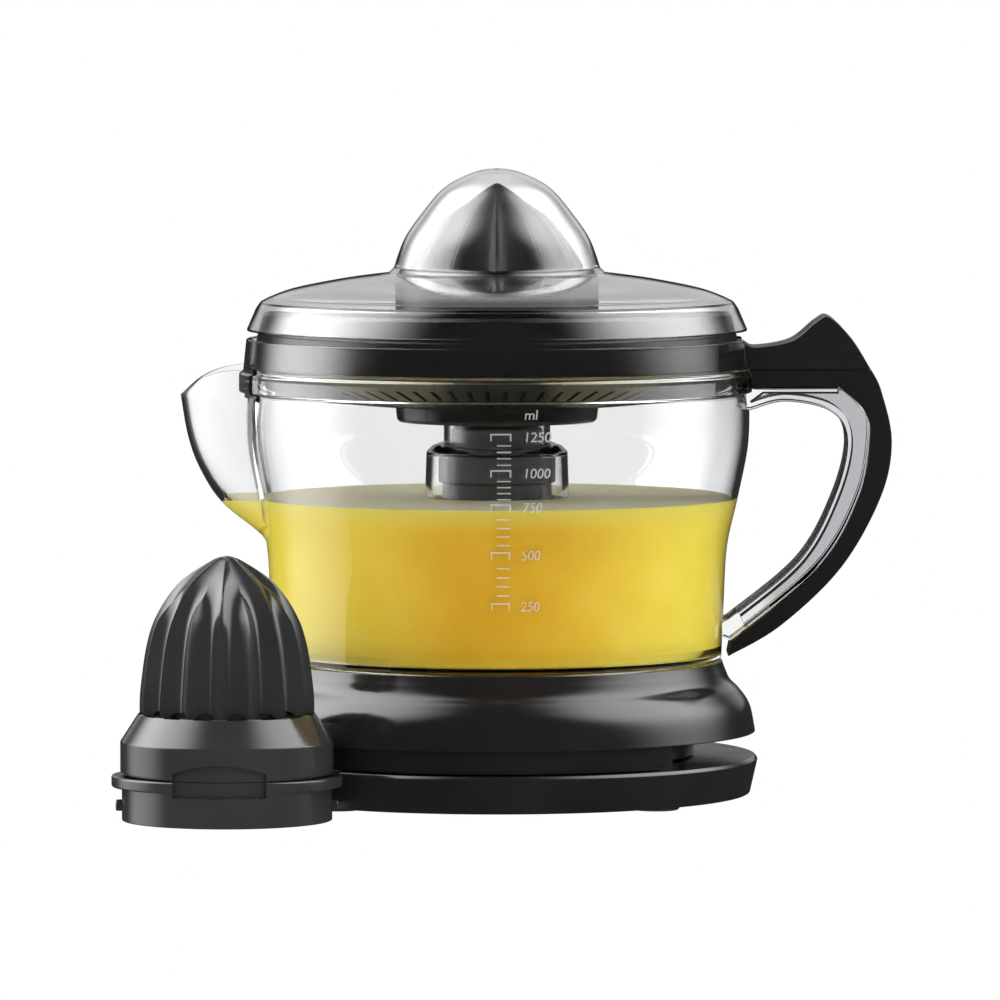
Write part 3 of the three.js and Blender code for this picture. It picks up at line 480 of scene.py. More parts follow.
def juice_material():
    """Orange juice: cloudy yellow with drifting pulp, with painted shade in the middle and painted light
    towards the sides, lighter towards its level, and pale foam where its surface faces up.
    """
    material, tree, shader = graph("orange_juice")
    cloud = noise(tree, 38, 5, 0.6)
    # painted light and shade: darker tones for the middle and lighter tones for the sides
    shaded_middle_tones = [(0.25, (0.82, 0.50, 0.028)), (0.5, (0.87, 0.55, 0.035)), (0.8, (0.92, 0.62, 0.06))]
    lit_side_tones = [(0.25, (0.86, 0.71, 0.09)), (0.5, (0.90, 0.76, 0.11)), (0.8, (0.93, 0.81, 0.16))]
    foam_tones = [(0.3, (0.95, 0.78, 0.32)), (0.5, (0.97, 0.87, 0.56)), (0.75, (0.98, 0.93, 0.74))]
    shaded_middle, light = ramp(tree, cloud, shaded_middle_tones), ramp(tree, cloud, lit_side_tones)
    # the painted shade of the middle turns into the painted light of the sides with the distance from the
    # drive axis
    off_axis = maths(tree, "ABSOLUTE", maths(tree, "SUBTRACT", along(tree, "X"), DRIVE.x))
    aside = span(tree, off_axis, 0.0, 1.0, 0.012, 0.062)
    body = blended(tree, aside, shaded_middle, light)
    rim = span(tree, along(tree, "Z"), 0.0, 0.8, (JUICE_LEVEL - 7) * MM, JUICE_LEVEL * MM)
    body = blended(tree, rim, body, (0.86, 0.76, 0.16))
    pulp = noise(tree, 160, 6, 0.7)
    foam = ramp(tree, pulp, foam_tones)
    normal = tree.nodes.new("ShaderNodeNewGeometry").outputs["Normal"]
    up = span(tree, component(tree, normal, "Z"), 0.0, 1.0, 0.5, 0.8)
    link(tree, blended(tree, up, body, foam), shader.inputs["Base Color"])
    link(tree, span(tree, pulp, 0.3, 0.55), shader.inputs["Roughness"])
    shader.inputs["Subsurface Weight"].default_value = 0.35
    shader.inputs["Subsurface Radius"].default_value = (1.0, 0.6, 0.15)
    shader.inputs["Subsurface Scale"].default_value = 0.006
    shader.inputs["IOR"].default_value = 1.35
    shader.inputs["Specular IOR Level"].default_value = 0.2
    bumped(tree, shader, pulp, 0.4, 1.2e-4)
    return material


GLOSS_BLACK = moulded("gloss_black", (0.0080, 0.0072, 0.0070), (0.0115, 0.0105, 0.0100), (0.10, 0.20),
                      waviness=0.5)
CONE_BLACK = moulded("cone_black", (0.020, 0.020, 0.020), (0.028, 0.028, 0.028), (0.10, 0.18), grain=2200,
                     grain_depth=1.5e-5)
CENTRE_BLACK = moulded("centre_black", (0.020, 0.020, 0.020), (0.026, 0.026, 0.026), (0.18, 0.28), grain=2200,
                       grain_depth=1.5e-5, shine=0.12)
STRAINER_BLACK = moulded("strainer_black", (0.0085, 0.0078, 0.0075), (0.013, 0.012, 0.0115), (0.14, 0.24),
                         waviness=0.4)
SATIN_BLACK = moulded("satin_black", (0.018, 0.018, 0.019), (0.030, 0.030, 0.031), (0.34, 0.5),
                      grain_depth=5e-5)
TOWER_GREY = moulded("tower_grey", (0.10, 0.098, 0.102), (0.14, 0.137, 0.14), (0.25, 0.4), grain_depth=4e-5)
RUBBER = moulded("rubber", (0.012, 0.012, 0.012), (0.022, 0.022, 0.022), (0.6, 0.85), grain=3000,
                 grain_depth=1e-4)
NYLON = moulded("nylon", (0.70, 0.67, 0.58), (0.80, 0.77, 0.68), (0.35, 0.5), grain=1800, grain_depth=4e-5)
GREY_PLASTIC = moulded("grey_plastic", (0.23, 0.235, 0.24), (0.31, 0.315, 0.32), (0.35, 0.5),
                       grain_depth=4e-5)
STEEL = brushed("steel", (0.42, 0.43, 0.45), (0.62, 0.63, 0.65), (0.22, 0.4))
LAMINATION = brushed("lamination", (0.10, 0.105, 0.11), (0.28, 0.285, 0.30), (0.4, 0.6), (1, 1, 60))
COPPER = brushed("copper", (0.42, 0.15, 0.06), (0.72, 0.30, 0.14), (0.3, 0.5), (30, 1, 1))
BRONZE = brushed("bronze", (0.36, 0.22, 0.07), (0.52, 0.35, 0.13), (0.35, 0.55))
# the clear handle, beyond 88 mm from the drive axis, is painted grey as shade
CLEAR = clear_plastic("clear", (0.955, 0.962, 0.965), (0.0, 0.05), wave=5e-6, shade_painted_from=88)
LID_CLEAR = clear_plastic("lid_clear", (0.97, 0.97, 0.975), (0.0, 0.04), wave=5e-6)
MARK_CLEAR = clear_plastic("scale_clear", (0.90, 0.90, 0.90), (0.25, 0.4), wave=1e-4, see=0.78)
JUICE = juice_material()

CAD_LOOKS = {
    "cord_gland": RUBBER,
    "tower_bush": BRONZE,
    "shaft_seal": RUBBER,
    "stator_core": LAMINATION,
    "stator_coil": COPPER,
    "rotor": STEEL,
    "rotor_bush_lower": BRONZE,
    "rotor_bush_upper": BRONZE,
    "motor_bracket": STEEL,
    "idler_gear": NYLON,
    "idler_pin": STEEL,
    "output_gear": NYLON,
    "drive_shaft": GREY_PLASTIC,
    "thrust_plunger": NYLON,
    "return_spring": STEEL,
    "switch_body": SATIN_BLACK,
    "switch_button": NYLON,
    "base_screw_1": STEEL,
    "base_screw_2": STEEL,
    "base_screw_3": STEEL,
}
for node, look in CAD_LOOKS.items():
    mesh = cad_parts[node].data
    mesh.materials.clear()
    mesh.materials.append(look)


def finished(obj, material, body, slot, *replaced, sharp_deg=32):
    """Gives a piece its material, its shading and its place in the frame. The slot argument is not used;
    juice has no slot in the record.
    """
    mesh = obj.data
    mesh.materials.clear()
    mesh.materials.append(material)
    mesh.polygons.foreach_set("material_index", [0] * len(mesh.polygons))
    mesh.shade_smooth()
    mesh.set_sharp_from_angle(angle=math.radians(sharp_deg))
    weighted = obj.modifiers.new("weighted_normals", "WEIGHTED_NORMAL")
    weighted.keep_sharp = True
    weighted.weight = 60
    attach(obj, body)
    if replaced:
        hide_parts(*replaced)
    return obj


# ---------------------------------------------------------------- base
def make_base_plate():
    wall = WALL + 0.3
    profile = [
        (0, PLATE["z"]), (PLATE["low_r"], PLATE["z"]), (PLATE["r"], PLATE["shoulder_z"]),
        (PLATE["r"] - 0.9, PLATE["top"]), (PLATE["hole_r"], PLATE["top"]),
        (PLATE["hole_r"], PLATE["top"] - 2), (PLATE["r"] - wall, PLATE["top"] - 2),
        (PLATE["low_r"] - wall + 0.3, PLATE["floor"]), (0, PLATE["floor"]),
    ]
    plate = turned("base_moulding_plate", softened(profile, 0.8))
    tools = []
    for x, y in on_circle(4, 45, FOOT["circle"]):
        tools.append(rod("t", FOOT["r"] + 0.4, 0, PLATE["z"] + FOOT["recess"], x, y))
    for x, y in on_circle(SCREW["count"], SCREW["first_deg"], SCREW["circle"]):
        plate = joined(plate, rod("t", 6.6, PLATE["floor"] - 0.5, 7, x, y))
        tools.append(rod("t", SCREW["head_r"] + 0.5, PLATE["z"] - 1, 5, x, y))
        tools.append(rod("t", 2.1, 0.5, 8, x, y))
    for i in range(VENT["count"]):
        x = (i - (VENT["count"] - 1) / 2) * VENT["pitch"]
        half = VENT["length"] / 2
        low = (x - VENT["width"] / 2, VENT["y"] - half, 0)
        tools.append(block("t", low, (x + VENT["width"] / 2, VENT["y"] + half - 8, 5)))
    return cut(plate, *tools)


def make_base_housing():
    side = smooth(HOUSING_SIDE, 8)
    inside = beside(side, WALL)[::-1]
    inner_wall = GROOVE["inner_r"] - WALL
    flange = GROOVE["top"] + 2.4
    low = PLATE["top"] + GAP
    profile = [(inner_wall, low), (GROOVE["inner_r"], low), (GROOVE["inner_r"], GROOVE["top"])] + side
    profile += [(DECK["r"], DECK["top"]), (DECK["hole_r"], DECK["top"]), (DECK["hole_r"], DECK["under"])]
    profile += [(DECK["r"] - 1, DECK["under"])]
    profile += [p for p in inside if flange + 1 < p[1] < DECK["under"] - 1]
    profile += [(83.8, flange), (inner_wall, flange)]
    housing = turned("base_moulding_housing", softened(profile, 0.7))
    half = GROOVE["half_deg"]
    arc = [math.radians(-90 - half + 2 * half * i / 48) for i in range(49)]
    near, far = GROOVE["inner_r"] - 1, GROOVE["block_r"]
    outline = [(far * math.cos(t), far * math.sin(t)) for t in arc]
    outline += [(near * math.cos(t), near * math.sin(t)) for t in arc[::-1]]
    front = bevelled(raised("t", outline, low, GROOVE["top"] + 0.5), 0.5)
    way_out = slab("t", [(x, GLAND["z"] + z) for x, z in on_circle(32, 0, GLAND["r"] + GAP)], 20)
    way_out.data.transform(Matrix.Translation((0, GROOVE["inner_r"] * MM, 0)))
    return cut(joined(housing, front), way_out)


finished(make_base_plate(), GLOSS_BLACK, "base", "gloss_black", "base_plate")
finished(make_base_housing(), GLOSS_BLACK, "base", "gloss_black", "base_housing")
for number, (x, y) in enumerate(on_circle(4, 45, FOOT["circle"]), 1):
    r, height = FOOT["r"], FOOT["height"]
    profile = [(0, 0), (r - 0.7, 0), (r, 0.7), (r, height), (0, height)]
    pad = turned(f"foot_pad_{number}", softened(profile, 0.4), 48, DRIVE + Vector((x, y, 0)) * MM)
    finished(pad, RUBBER, "base", "rubber", f"foot_{number}")


def make_tower():
    profile = [
        (TOWER["low_r"] - 3, TOWER["flange_low"]), (TOWER["flange_r"], TOWER["flange_low"]),
        (TOWER["flange_r"], TOWER["flange_top"]), (TOWER["low_r"], TOWER["flange_top"]),
        (TOWER["r"], TOWER["collar_low"]), (TOWER_TOP["collar_r"], TOWER["collar_low"]),
        (TOWER_TOP["collar_r"], TOWER_TOP["collar_high"]), (TOWER_TOP["neck_r"], TOWER_TOP["collar_high"]),
        (TOWER_TOP["neck_r"], TOWER_TOP["top"]), (TOWER_TOP["bush_r"], TOWER_TOP["top"]),
        (TOWER_TOP["bush_r"], TOWER_TOP["bush_low"]), (SHAFT_R + 0.5, TOWER_TOP["bush_low"]),
        (SHAFT_R + 0.5, TOWER_TOP["bush_low"] - 2), (TOWER["r"] - 2.5, TOWER_TOP["bush_low"] - 4),
    ]
    return turned("tower_moulding", softened(profile, 0.8), 120)


finished(make_tower(), TOWER_GREY, "base", "satin_black", "drive_tower")


# ---------------------------------------------------------------- jug
def beak(name, inset, high, sink=0.0):
    """The spout's outer or inner skin: level sections that narrow downwards."""
    reach = smooth(SPOUT_REACH, 6)
    low, top = SPOUT["low"], SPOUT_REACH[-1][1]
    rows = []
    for x, z in reach:
        share = max(0.0, (z - low) / (top - low))
        half = SPOUT["low_half"] + (SPOUT["half"] - SPOUT["low_half"]) * math.sqrt(share)
        rows.append((x - inset, half - inset, z + inset * (1 - share)))
    rows.append((rows[-1][0], rows[-1][1], high))
    rings = []
    steps, root = 40, SPOUT["root"] + sink
    for tip, half, z in rows:
        ring = []
        for i in range(steps + 1):
            t = 2 * i / steps - 1
            ring.append((-(root + 4 + (tip - root - 4) * (1 - abs(t) ** SPOUT["beak"])), -half * t, z))
        rings.append(ring + [(-root, -half, z), (-root, half, z)])
    return loft(name, rings)


def make_spout():
    above = smooth(SPOUT_RIM, 10) + [(-60, 144.2), (-60, 170), (-130, 170), (-130, 134.6)]
    skin = cut(beak("t", 0, SPOUT["high"]), beak("t", SPOUT["wall"], SPOUT["high"] + 5))
    return cut(skin, slab("t", above, 100))


def make_clear_handle():
    loop = smooth(LOOP, 12)
    seat = beside(smooth(SEAT, 12), -GAP)
    outline = [(82.5, 130)] + loop + [(75, 59), (75, 54)] + seat[::-1] + [(84, 137.4), (82.5, 137.4)]
    inner = beside(loop, CHANNEL["wall"])
    channel = inner[1:-2] + [(86, 50), (140, 50), (140, 150), (114, 150), (114, 135.4), (89, 135.4)]
    whole = bevelled(slab("t", outline, HANDLE_WIDTH), 0.9)
    return cut(whole, slab("t", channel, 2 * CHANNEL["half"]))


def jug_profile():
    side = smooth(JUG_SIDE, 8)
    inside = beside(side, JUG["wall"])[::-1]
    c = COLUMN
    return [(JUG["foot_r"], JUG["foot_z"])] + side + [
        (COLLAR["r"], COLLAR["low"]), (COLLAR["r"], COLLAR["high"]), (85, COLLAR["high"] + 0.6),
        (COLLAR["lip_r"], COLLAR["lip_z"]), (COLLAR["lip_r"] - COLLAR["lip_wall"], COLLAR["lip_z"]),
        (83.1, JUG["ledge_z"] + 0.8), (82.6, JUG["ledge_z"]), (JUG["ledge_r"], JUG["ledge_z"]),
        (JUG["ledge_r"], JUG["ledge_z"] - 1.5),
    ] + [p for p in inside if JUG["floor"] + 2 < p[1] < 135] + [
        (72.2, JUG["floor"]), (c["low_r"] + 1.5, JUG["floor"]), (c["low_r"], JUG["floor"] + 1.5),
        (c["r"], c["shoulder_z"] - 2), (c["r"] - 2, c["shoulder_z"]), (c["neck_r"], c["neck_z"]),
        (c["neck_r"], c["top"]), (c["neck_r"] - c["wall"], c["top"]),
        (c["neck_r"] - c["wall"], c["neck_z"] - 1.8),
        (c["r"] - c["wall"], c["shoulder_z"] - 3), (c["low_r"] - c["wall"], JUG["under"]),
        (JUG["foot_r"], JUG["under"]),
    ]


def make_jug():
    side = smooth(JUG_SIDE, 8)
    inner = [p for p in beside(side, JUG["wall"] / 2) if p[1] > 61]
    room = turned("t", [(0, 60), (inner[0][0], 60)] + inner + [(83, 160), (0, 160)])
    additions = cut(joined(make_spout(), make_clear_handle()), room)
    way = block("t", (-90, -PASSAGE["half"], PASSAGE["low"]), (-60, PASSAGE["half"], PASSAGE["high"]))
    passage = kept(way, beak("t", SPOUT["wall"], SPOUT["high"]))
    notch = block("t", (78, -NOTCH_HALF, COLLAR["high"] + 1), (92, NOTCH_HALF, 156))
    half_seat = HANDLE_WIDTH / 2 + GAP
    low = (COVER_ROOT_X - GAP, -half_seat, COVER_SEAT["low"])
    seat = block("t", low, (COVER_SEAT["out_x"], half_seat, COLLAR["high"] + 2))
    shell = turned("jug_clear_moulding", softened(jug_profile(), 0.6))
    return cut(joined(shell, additions), passage, notch, seat)


def make_cover():
    back = smooth(BACK, 12)
    seat = smooth(SEAT, 12)
    outline = [(COVER_ROOT_X, SEAM_Z)] + back + seat[::-1] + [(COVER_ROOT_X, COVER_SEAT["low"] + GAP)]
    inner = beside(back, -CHANNEL["wall"])
    hollow = [(89, SEAM_Z - 2.2), (120, SEAM_Z - 2.2)] + inner[2:-3] + [(92, 50), (89, 135)]
    filled = bevelled(slab("handle_cover_moulding", outline, HANDLE_WIDTH), 0.7)
    return cut(filled, slab("t", hollow, 2 * CHANNEL["half"]))


def make_juice():
    """What the jug holds: the ring round the column, the spout's beak, and the passage between them."""
    side = smooth(JUG_SIDE, 8)
    gap, level, c = JUICE_GAP, JUICE_LEVEL, COLUMN
    wall = [p for p in beside(side, JUG["wall"] + gap) if JUG["floor"] + 2 < p[1] < level]
    slope = (c["low_r"] - c["r"]) / (c["shoulder_z"] - JUG["floor"])
    top_r = c["low_r"] - slope * (level - JUG["floor"])
    profile = [(c["low_r"] + 1.5, JUG["floor"] + gap), (72, JUG["floor"] + gap)] + wall
    last = wall[-1][0] + 0.1
    profile += [
        (last, level + 0.5), (last - 1.2, level + 0.1), (top_r + 1.3, level), (top_r + gap, level + 0.5),
        (c["low_r"] + gap, JUG["floor"] + 1.6),
    ]
    pool = turned("orange_juice", profile, 128)
    outside = turned("t", [(0, 60)] + [p for p in beside(side, -gap) if p[1] > 61] + [(83, 160), (0, 160)])
    in_beak = cut(beak("t", SPOUT["wall"] + gap, SPOUT["high"]), outside)
    in_beak = cut(in_beak, block("t", (-130, -60, level + 0.2), (-50, 60, 170)))
    half = PASSAGE["half"] - gap
    way = block("t", (-90, -half, PASSAGE["low"] + gap), (-60, half, level + 0.2))
    through = kept(way, beak("t", SPOUT["wall"] + gap, SPOUT["high"]))
    return joined(pool, in_beak, through)


finished(make_jug(), CLEAR, "jug", "clear", "jug")
finished(make_cover(), GLOSS_BLACK, "jug", "gloss_black", "jug_handle_cover")
finished(make_juice(), JUICE, "jug", None)


# ---------------------------------------------------------------- the scale on the jug's wall
def wall_radius(z):
    for (r0, z0), (r1, z1) in zip(smooth(JUG_SIDE, 8), smooth(JUG_SIDE, 8)[1:]):
        if z0 <= z <= z1:
            return r0 + (r1 - r0) * (z - z0) / (z1 - z0)
    return JUG_SIDE[-1][0]


def on_wall(across, z, proud):
    turn = -math.pi / 2 + across / SCALE_TURN_R
    r = wall_radius(z) + proud
    return (r * math.cos(turn), r * math.sin(turn), z)


def make_scale():
    line, tick, font = SCALE_LINE, SCALE_TICK, SCALE_TEXT
    points, faces = [], []

    def bar(x0, x1, z0, z1):
        first = len(points)
        for proud in SCALE_DEPTH:
            points.extend(on_wall(x, z, proud) for x, z in ((x0, z0), (x1, z0), (x1, z1), (x0, z1)))
        faces.extend([first + i for i in face] for face in BOX_FACES)

    for z in SCALE_MARKS.values():
        bar(line["start"], line["end"], z - line["half"], z + line["half"])
        bar(line["start"], line["start"] + line["hook"], z - line["hook_drop"], z - line["half"])
        bar(line["end"] - line["hook"], line["end"], z - line["hook_drop"], z - line["half"])
    levels = sorted(SCALE_MARKS.values())
    for low, high in zip(levels, levels[1:]):
        for share in SCALE_TICKS:
            z = low + (high - low) * share
            bar(tick["start"], tick["end"], z - tick["half"], z + tick["half"])
    words = [(str(n), z - font["drop"], font["x"]) for n, z in SCALE_MARKS.items()]
    for text, z, x in words + [("ml", font["unit_z"], font["unit_x"])]:
        curve = bpy.data.curves.new("t", "FONT")
        curve.body = text
        curve.size = font["size"]
        curve.shear = font["shear"]
        curve.extrude = font["extrude"]
        writing = bpy.data.objects.new("t", curve)
        bpy.context.scene.collection.objects.link(writing)
        bpy.context.view_layer.update()
        flat = bpy.data.meshes.new_from_object(writing.evaluated_get(bpy.context.evaluated_depsgraph_get()))
        first = len(points)
        points.extend(on_wall(x + v.co.x, z + v.co.y, v.co.z + 0.02) for v in flat.vertices)
        faces.extend([first + i for i in p.vertices] for p in flat.polygons)
        bpy.data.objects.remove(writing)
    return solid("jug_scale", points, faces)


finished(make_scale(), MARK_CLEAR, "jug", "clear")


# ---------------------------------------------------------------- strainer
def make_strainer():
    s, h = SLOTS, HUB
    step_r = JUG["ledge_r"] - 0.6
    inner_r, top_inner_r = RING["r"] - RING["wall"], RING["top_r"] - RING["wall"]
    ring = [
        (inner_r - 1.5, s["floor_z"] + 0.2), (step_r, s["floor_z"] + 0.2), (step_r, RING["low"]),
        (RING["r"], RING["low"]), (RING["r"], RING["mid"]), (RING["waist_r"], RING["waist_z"]),
        (RING["top_r"] + 0.5, RING["top"] - 1.2), (RING["top_r"] - 1, RING["top"]),
        (top_inner_r, RING["top"]), (top_inner_r + 2.6, RING["waist_z"]),
        (inner_r, s["floor_z"] + 3.4), (inner_r - 1.5, s["floor_z"] + s["deep"]),
    ]
    hub = [
        (h["low_r"], h["low"]), (h["low_r"] + 0.9, h["low"] + 1), (h["r"], 131), (h["r"], h["shoulder_z"]),
        (h["top_r"], h["top"]), (HUB_TUBE["bore_r"], h["top"]), (HUB_TUBE["bore_r"], HUB_TUBE["low"]),
        (HUB_TUBE["r"], HUB_TUBE["low"]), (HUB_TUBE["r"], h["top"] - 2.4),
        (h["r"] - h["wall"] - 0.8, h["top"] - 3.2), (h["r"] - h["wall"], h["shoulder_z"] - 2),
        (h["low_r"] - h["wall"], h["low"]),
    ]

    def floor_z(r):
        return s["floor_z"] - s["slope"] * (s["floor_r"] - r)

    outer, inner = s["floor_r"] - 0.6, h["r"] - 1
    disc = [(inner, floor_z(inner)), (outer, floor_z(outer)), (outer, floor_z(outer) + s["deep"])]
    disc.append((inner, floor_z(inner) + s["deep"]))
    floor = turned("t", disc)
    points, faces = [], []
    for x, y in on_circle(s["count"], 360 / s["count"] / 2, 1):
        first = len(points)
        for z in (120, 150):
            for r, side in ((s["inner"], 1), (s["outer"], 1), (s["outer"], -1), (s["inner"], -1)):
                points.append((x * r - y * side * s["width"] / 2, y * r + x * side * s["width"] / 2, z))
        faces.extend([first + i for i in face] for face in BOX_FACES)
    floor = cut(floor, solid("t", points, faces))
    thumb = bevelled(slab("t", smooth(THUMB, 10) + [(76, SEAM_Z + GAP)], HANDLE_WIDTH), 0.6)
    waist_r = RING["waist_r"] - 1.2
    inside = [(0, 130), (RING["r"] - 1, 130), (RING["r"] - 1, RING["mid"]), (waist_r, RING["waist_z"]),
              (waist_r, 170), (0, 170)]
    thumb = cut(thumb, turned("t", inside))
    whole = turned("strainer_moulding", softened(ring, 0.7))
    return joined(whole, turned("t", softened(hub, 0.8)), floor, thumb)


finished(make_strainer(), STRAINER_BLACK, "strainer", "strainer_black", "strainer")


# ---------------------------------------------------------------- reamers
def reamer(name, crest, bottom, facets, fall, origin, turn_deg, levels=8):
    """A cone whose crest line loses the share fall(turn, height share) between the ribs."""
    path = smooth(crest, levels)
    phase = math.radians(turn_deg)
    rings = []
    for step, (r, z) in enumerate([(crest[0][0], bottom)] + path):
        share = max(0, step - 1) / (len(path) - 1)
        ring = []
        for i in range(facets):
            turn = 2 * math.pi * i / facets
            reach = r * (1 - fall(turn, share))
            ring.append((reach * math.cos(turn + phase), reach * math.sin(turn + phase), z))
        rings.append(ring)
    return loft(name, rings, origin)


def make_small_cone():
    def fall(turn, share):
        away = abs(math.sin(SMALL["ribs"] * turn / 2))
        near = math.exp(-((away / 0.34) ** 2))
        fading = (0.3 + 0.7 * (1 - share) ** 2) * min(1.0, (1 - share) * 3.5)
        return SMALL["depth"] * (1 - near) * (0.55 + 0.45 * away) * fading

    body = reamer("small_cone_moulding", SMALL_CREST, SMALL["bottom"], SMALL["ribs"] * 20, fall, DRIVE, -90)
    cavity = turned("t", [(0, SMALL_CAVITY[0][1])] + SMALL_CAVITY + [(0, SMALL_CAVITY[-1][1])], 96)
    hub = rod("t", SMALL["hub_r"], SMALL["hub_low"], 194)
    socket = rod("t", SHAFT_R + 0.4, 160, 188, facets=6)
    return cut(joined(cut(body, cavity), hub), socket)


finished(make_small_cone(), CENTRE_BLACK, "small_cone", "cone_black", "small_cone", sharp_deg=45)


def make_large_cone():
    ribs = LARGE_RIBS

    def fall(turn, share):
        main = abs(math.sin(ribs["upper"] / 2 * turn))
        all_ribs = abs(math.sin(ribs["lower"] / 2 * turn))
        upper = min(1.0, max(0.0, (share - ribs["meet"]) / ribs["blend"]))
        upper = upper * upper * (3 - 2 * upper)
        between = all_ribs ** 0.8 * (1 - upper) + 1.2 * main ** 0.7 * upper
        return ribs["depth"] * between * min(1.0, (1 - share) * 12)

    body = reamer("large_cone_moulding", LARGE_CREST, LARGE["foot"] - 3, 320, fall, SPARE, ribs["turn_deg"])
    skirt_outline = [
        (0, LARGE["seam"]), (LARGE["r"], LARGE["seam"]), (LARGE["r"], LARGE["shoulder"]),
        (LARGE["crest_r"], LARGE["foot"]), (0, LARGE["foot"]),
    ]
    skirt = turned("t", softened(skirt_outline, 1.2), origin=SPARE)
    cavity = turned("t", [(0, LARGE_CAVITY[0][1])] + LARGE_CAVITY, origin=SPARE)
    whole = cut(joined(body, skirt), cavity, *drains())
    return cut(whole, finger_recess(FINGER["skirt_r"]))


def drains():
    """An arched opening through the large cone's wall at the foot of each flute."""
    d, count = DRAIN, LARGE_RIBS["lower"]
    turns = [math.pi * i / 12 for i in range(13)]
    arch = [(d["half"] * math.cos(t), d["low"] + d["rise"] * math.sin(t)) for t in turns]
    tools = []
    for x, y in on_circle(count, LARGE_RIBS["turn_deg"] + 180 / count, 1):
        rings = [[(x * r - y * a, y * r + x * a, z) for a, z in arch] for r in (d["inner"], d["outer"])]
        tools.append(loft("t", rings, SPARE))
    return tools


def finger_recess(deep):
    """The recess across the front's seam: an arch with straight sides, cut back to a given radius."""
    half, centre, low, side_top = FINGER["half"], FINGER["middle"], FINGER["low"], FINGER["side_top"]
    rise = FINGER["top"] - side_top
    arch = [(centre + half * t / 10, side_top + rise * (1 - (t / 10) ** 2)) for t in range(10, -11, -1)]
    tool = slab("t", [(centre - half, low), (centre + half, low)] + arch, 12, SPARE)
    tool.data.transform(Matrix.Translation((0, -LARGE["r"] * MM, 0)))
    core = rod("t", deep, low - 1, FINGER["top"] + 1, facets=96, origin=SPARE)
    return cut(tool, core)


def make_large_ring():
    r, wall = LARGE_RING["r"], LARGE_RING["wall"]
    top = LARGE["seam"] - GAP
    profile = [(r - wall, 0), (r, 0), (r, top), (r - wall, top)]
    ring = turned("large_cone_ring_moulding", softened(profile, 0.5), origin=SPARE)
    ear_r, ear_y = LARGE_RING["ear_r"], LARGE_RING["ear_y"]
    oval = [(x * ear_r, y * ear_y) for x, y in on_circle(ROUND, 0, 1)]
    ears = raised("t", oval, LARGE_RING["ear_low"], top, SPARE)
    ears = bevelled(ears, 0.8)
    ring = joined(ring, ears)
    for side in (-1, 1):
        peg = [(x, LARGE_RING["peg_z"] + z) for x, z in on_circle(24, 0, LARGE_RING["peg_r"])]
        points = [(side * x, y, z) for x in (r - 1.5, LARGE_RING["nub_r"]) for y, z in peg]
        n = len(peg)
        faces = [list(range(n)), list(range(n, 2 * n))]
        faces += [[i, (i + 1) % n, n + (i + 1) % n, n + i] for i in range(n)]
        ring = joined(ring, bevelled(solid("t", points, faces, SPARE), 0.5))
    bore = rod("t", r - wall, -1, top + 1, facets=ROUND, origin=SPARE)
    ring = cut(ring, bore)
    return cut(ring, finger_recess(FINGER["ring_r"]))


finished(make_large_cone(), CONE_BLACK, "large_cone", "cone_black", "large_cone", sharp_deg=28)
finished(make_large_ring(), CONE_BLACK, "large_cone", "cone_black", "large_cone_ring")


# ---------------------------------------------------------------- lid
def make_lid():
    outer = smooth(LID_DOME, 10) + smooth(LID_TOP, 6) + LID_BRIM[1:]
    inner = beside(outer, -LID_WALL)
    inner[0] = (0, LID_DOME[0][1] - LID_WALL)
    inner[-1] = (LID_BRIM[-1][0] - LID_WALL, LID_BRIM[-1][1])
    return turned("lid_moulding", softened(outer + inner[::-1], 0.6))


finished(make_lid(), LID_CLEAR, "lid", "lid_clear", "lid")


# ---------------------------------------------------------------- stage, light and camera
def make_stage():
    floor = solid("stage_floor", [(-1, -1, 0), (1, -1, 0), (1, 1, 0), (-1, 1, 0)], [[0, 1, 2, 3]])
    floor.data.transform(Matrix.Diagonal((FLOOR_HALF / MM, FLOOR_HALF / MM, 0, 1)))
    material, tree, shader = graph("stage_white")
    tone = ramp(tree, noise(tree, 3, 2), [(0.3, (0.715, 0.715, 0.72)), (0.7, (0.73, 0.73, 0.73))])
    # painted shade in reflections: seen in a reflection the floor's colour turns to dark grey
    mirrored = bounced(tree, tree.nodes.new("ShaderNodeLightPath"), "Glossy Depth")
    link(tree, blended(tree, mirrored, tone, (0.10, 0.10, 0.10)), shader.inputs["Base Color"])
    shader.inputs["Roughness"].default_value = 0.9
    shader.inputs["Specular IOR Level"].default_value = 0.0
    floor.data.materials.append(material)


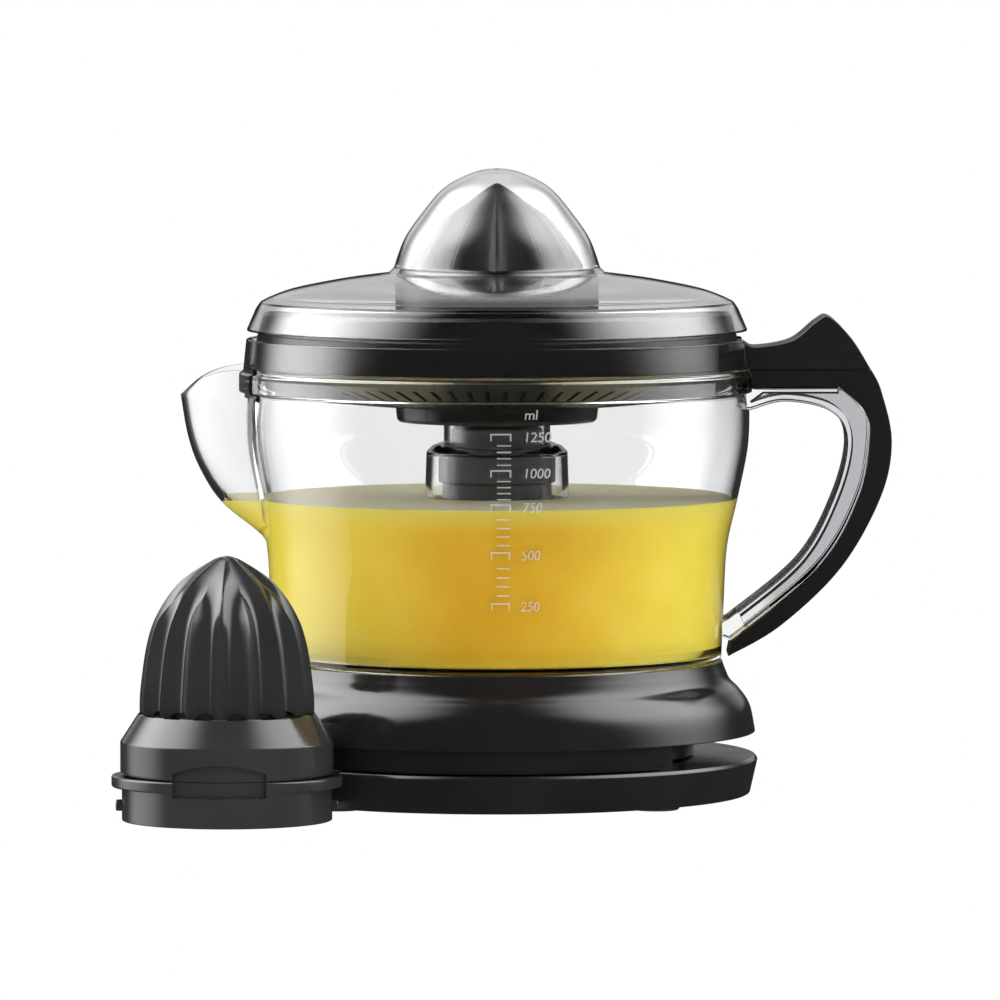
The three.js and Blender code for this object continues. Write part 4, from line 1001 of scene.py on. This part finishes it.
def make_world():
    """White all round for what is seen directly or through glass. Reflections see a dark room with a white
    backdrop behind the object and soft lamps at its sides, and matt surfaces see an even grey room."""
    world = bpy.data.worlds.new("studio")
    bpy.context.scene.world = world
    world.use_nodes = True
    world.cycles.sampling_method = "NONE"
    tree = world.node_tree
    tree.nodes.clear()
    output = tree.nodes.new("ShaderNodeOutputWorld")
    path = tree.nodes.new("ShaderNodeLightPath")
    direction = tree.nodes.new("ShaderNodeTexCoord").outputs["Generated"]

    def step(value, low, high, top):
        node = tree.nodes.new("ShaderNodeMapRange")
        node.interpolation_type = "SMOOTHSTEP"
        for name, number in (("From Min", low), ("From Max", high), ("To Min", 0.0), ("To Max", top)):
            node.inputs[name].default_value = number
        link(tree, value, node.inputs["Value"])
        return node.outputs["Result"]

    def towards(vector, flatten):
        squeeze = tree.nodes.new("ShaderNodeVectorMath")
        squeeze.operation = "MULTIPLY"
        squeeze.inputs[1].default_value = (1, 1, flatten)
        link(tree, direction, squeeze.inputs[0])
        unit = tree.nodes.new("ShaderNodeVectorMath")
        unit.operation = "NORMALIZE"
        link(tree, squeeze.outputs["Vector"], unit.inputs[0])
        dot = tree.nodes.new("ShaderNodeVectorMath")
        dot.operation = "DOT_PRODUCT"
        link(tree, unit.outputs["Vector"], dot.inputs[0])
        dot.inputs[1].default_value = Vector((vector[0], vector[1], vector[2] * flatten)).normalized()
        return dot.outputs["Value"]

    above = step(component(tree, direction, "Z"), *BACKDROP["foot"], 1.0)
    behind = towards((0, 1, 0), BACKDROP["flatten"])
    backdrop = step(behind, BACKDROP["edge"], BACKDROP["middle"], BACKDROP["radiance"])
    glow = maths(tree, "MULTIPLY_ADD", backdrop, above, ROOM_TONE)
    for azimuth, elevation, flatten, low, high, top in LAMPS:
        turn, rise = math.radians(azimuth), math.radians(elevation)
        lamp = (math.sin(turn) * math.cos(rise), -math.cos(turn) * math.cos(rise), math.sin(rise))
        lobe = maths(tree, "POWER", step(towards(lamp, flatten), low, high, 1.0), LAMP_FALL)
        glow = maths(tree, "MULTIPLY_ADD", lobe, top, glow)
    strength = tree.nodes.new("ShaderNodeMix")
    strength.inputs["A"].default_value = 1.0
    link(tree, bounced(tree, path, "Glossy Depth"), strength.inputs["Factor"])
    link(tree, glow, strength.inputs["B"])
    matt = tree.nodes.new("ShaderNodeMix")
    matt.inputs["B"].default_value = MATT_TONE
    link(tree, bounced(tree, path, "Diffuse Depth"), matt.inputs["Factor"])
    link(tree, strength.outputs["Result"], matt.inputs["A"])
    background = tree.nodes.new("ShaderNodeBackground")
    background.inputs["Color"].default_value = (1, 1, 1, 1)
    link(tree, matt.outputs["Result"], background.inputs["Strength"])
    link(tree, background.outputs["Background"], output.inputs["Surface"])


def softbox(name, at, aim, size, radiance):
    light = bpy.data.lights.new(name, "AREA")
    light.shape = "RECTANGLE"
    light.size, light.size_y = size
    light.energy = radiance * math.pi * size[0] * size[1]
    obj = bpy.data.objects.new(name, light)
    bpy.context.scene.collection.objects.link(obj)
    obj.location = DRIVE + Vector(at)
    obj.rotation_euler = (Vector(aim) - Vector(at)).to_track_quat("-Z", "Y").to_euler()
    obj.visible_camera = False
    obj.visible_glossy = False
    obj.visible_transmission = False


def make_camera():
    camera_data = bpy.data.cameras.new("camera")
    camera = bpy.data.objects.new("camera", camera_data)
    bpy.context.scene.collection.objects.link(camera)
    target = DRIVE + Vector((CAMERA["aside"], 0, CAMERA["aim_z"]))
    camera.location = DRIVE + Vector((CAMERA["aside"], -CAMERA["back"], CAMERA["height"]))
    view = target - camera.location
    camera.rotation_euler = view.to_track_quat("-Z", "Y").to_euler()
    camera_data.sensor_width = CAMERA["sensor"]
    camera_data.lens = CAMERA["sensor"] * view.length / CAMERA["picture_width"]
    camera_data.clip_start, camera_data.clip_end = 0.05, 60
    bpy.context.scene.camera = camera


make_stage()
make_world()
for box in SOFTBOXES:
    softbox(*box)
make_camera()
scene = bpy.context.scene
scene.view_settings.view_transform = "Standard"
scene.cycles.max_bounces = LIGHT_BOUNCES
scene.cycles.transmission_bounces = LIGHT_BOUNCES
scene.cycles.transparent_max_bounces = LIGHT_BOUNCES
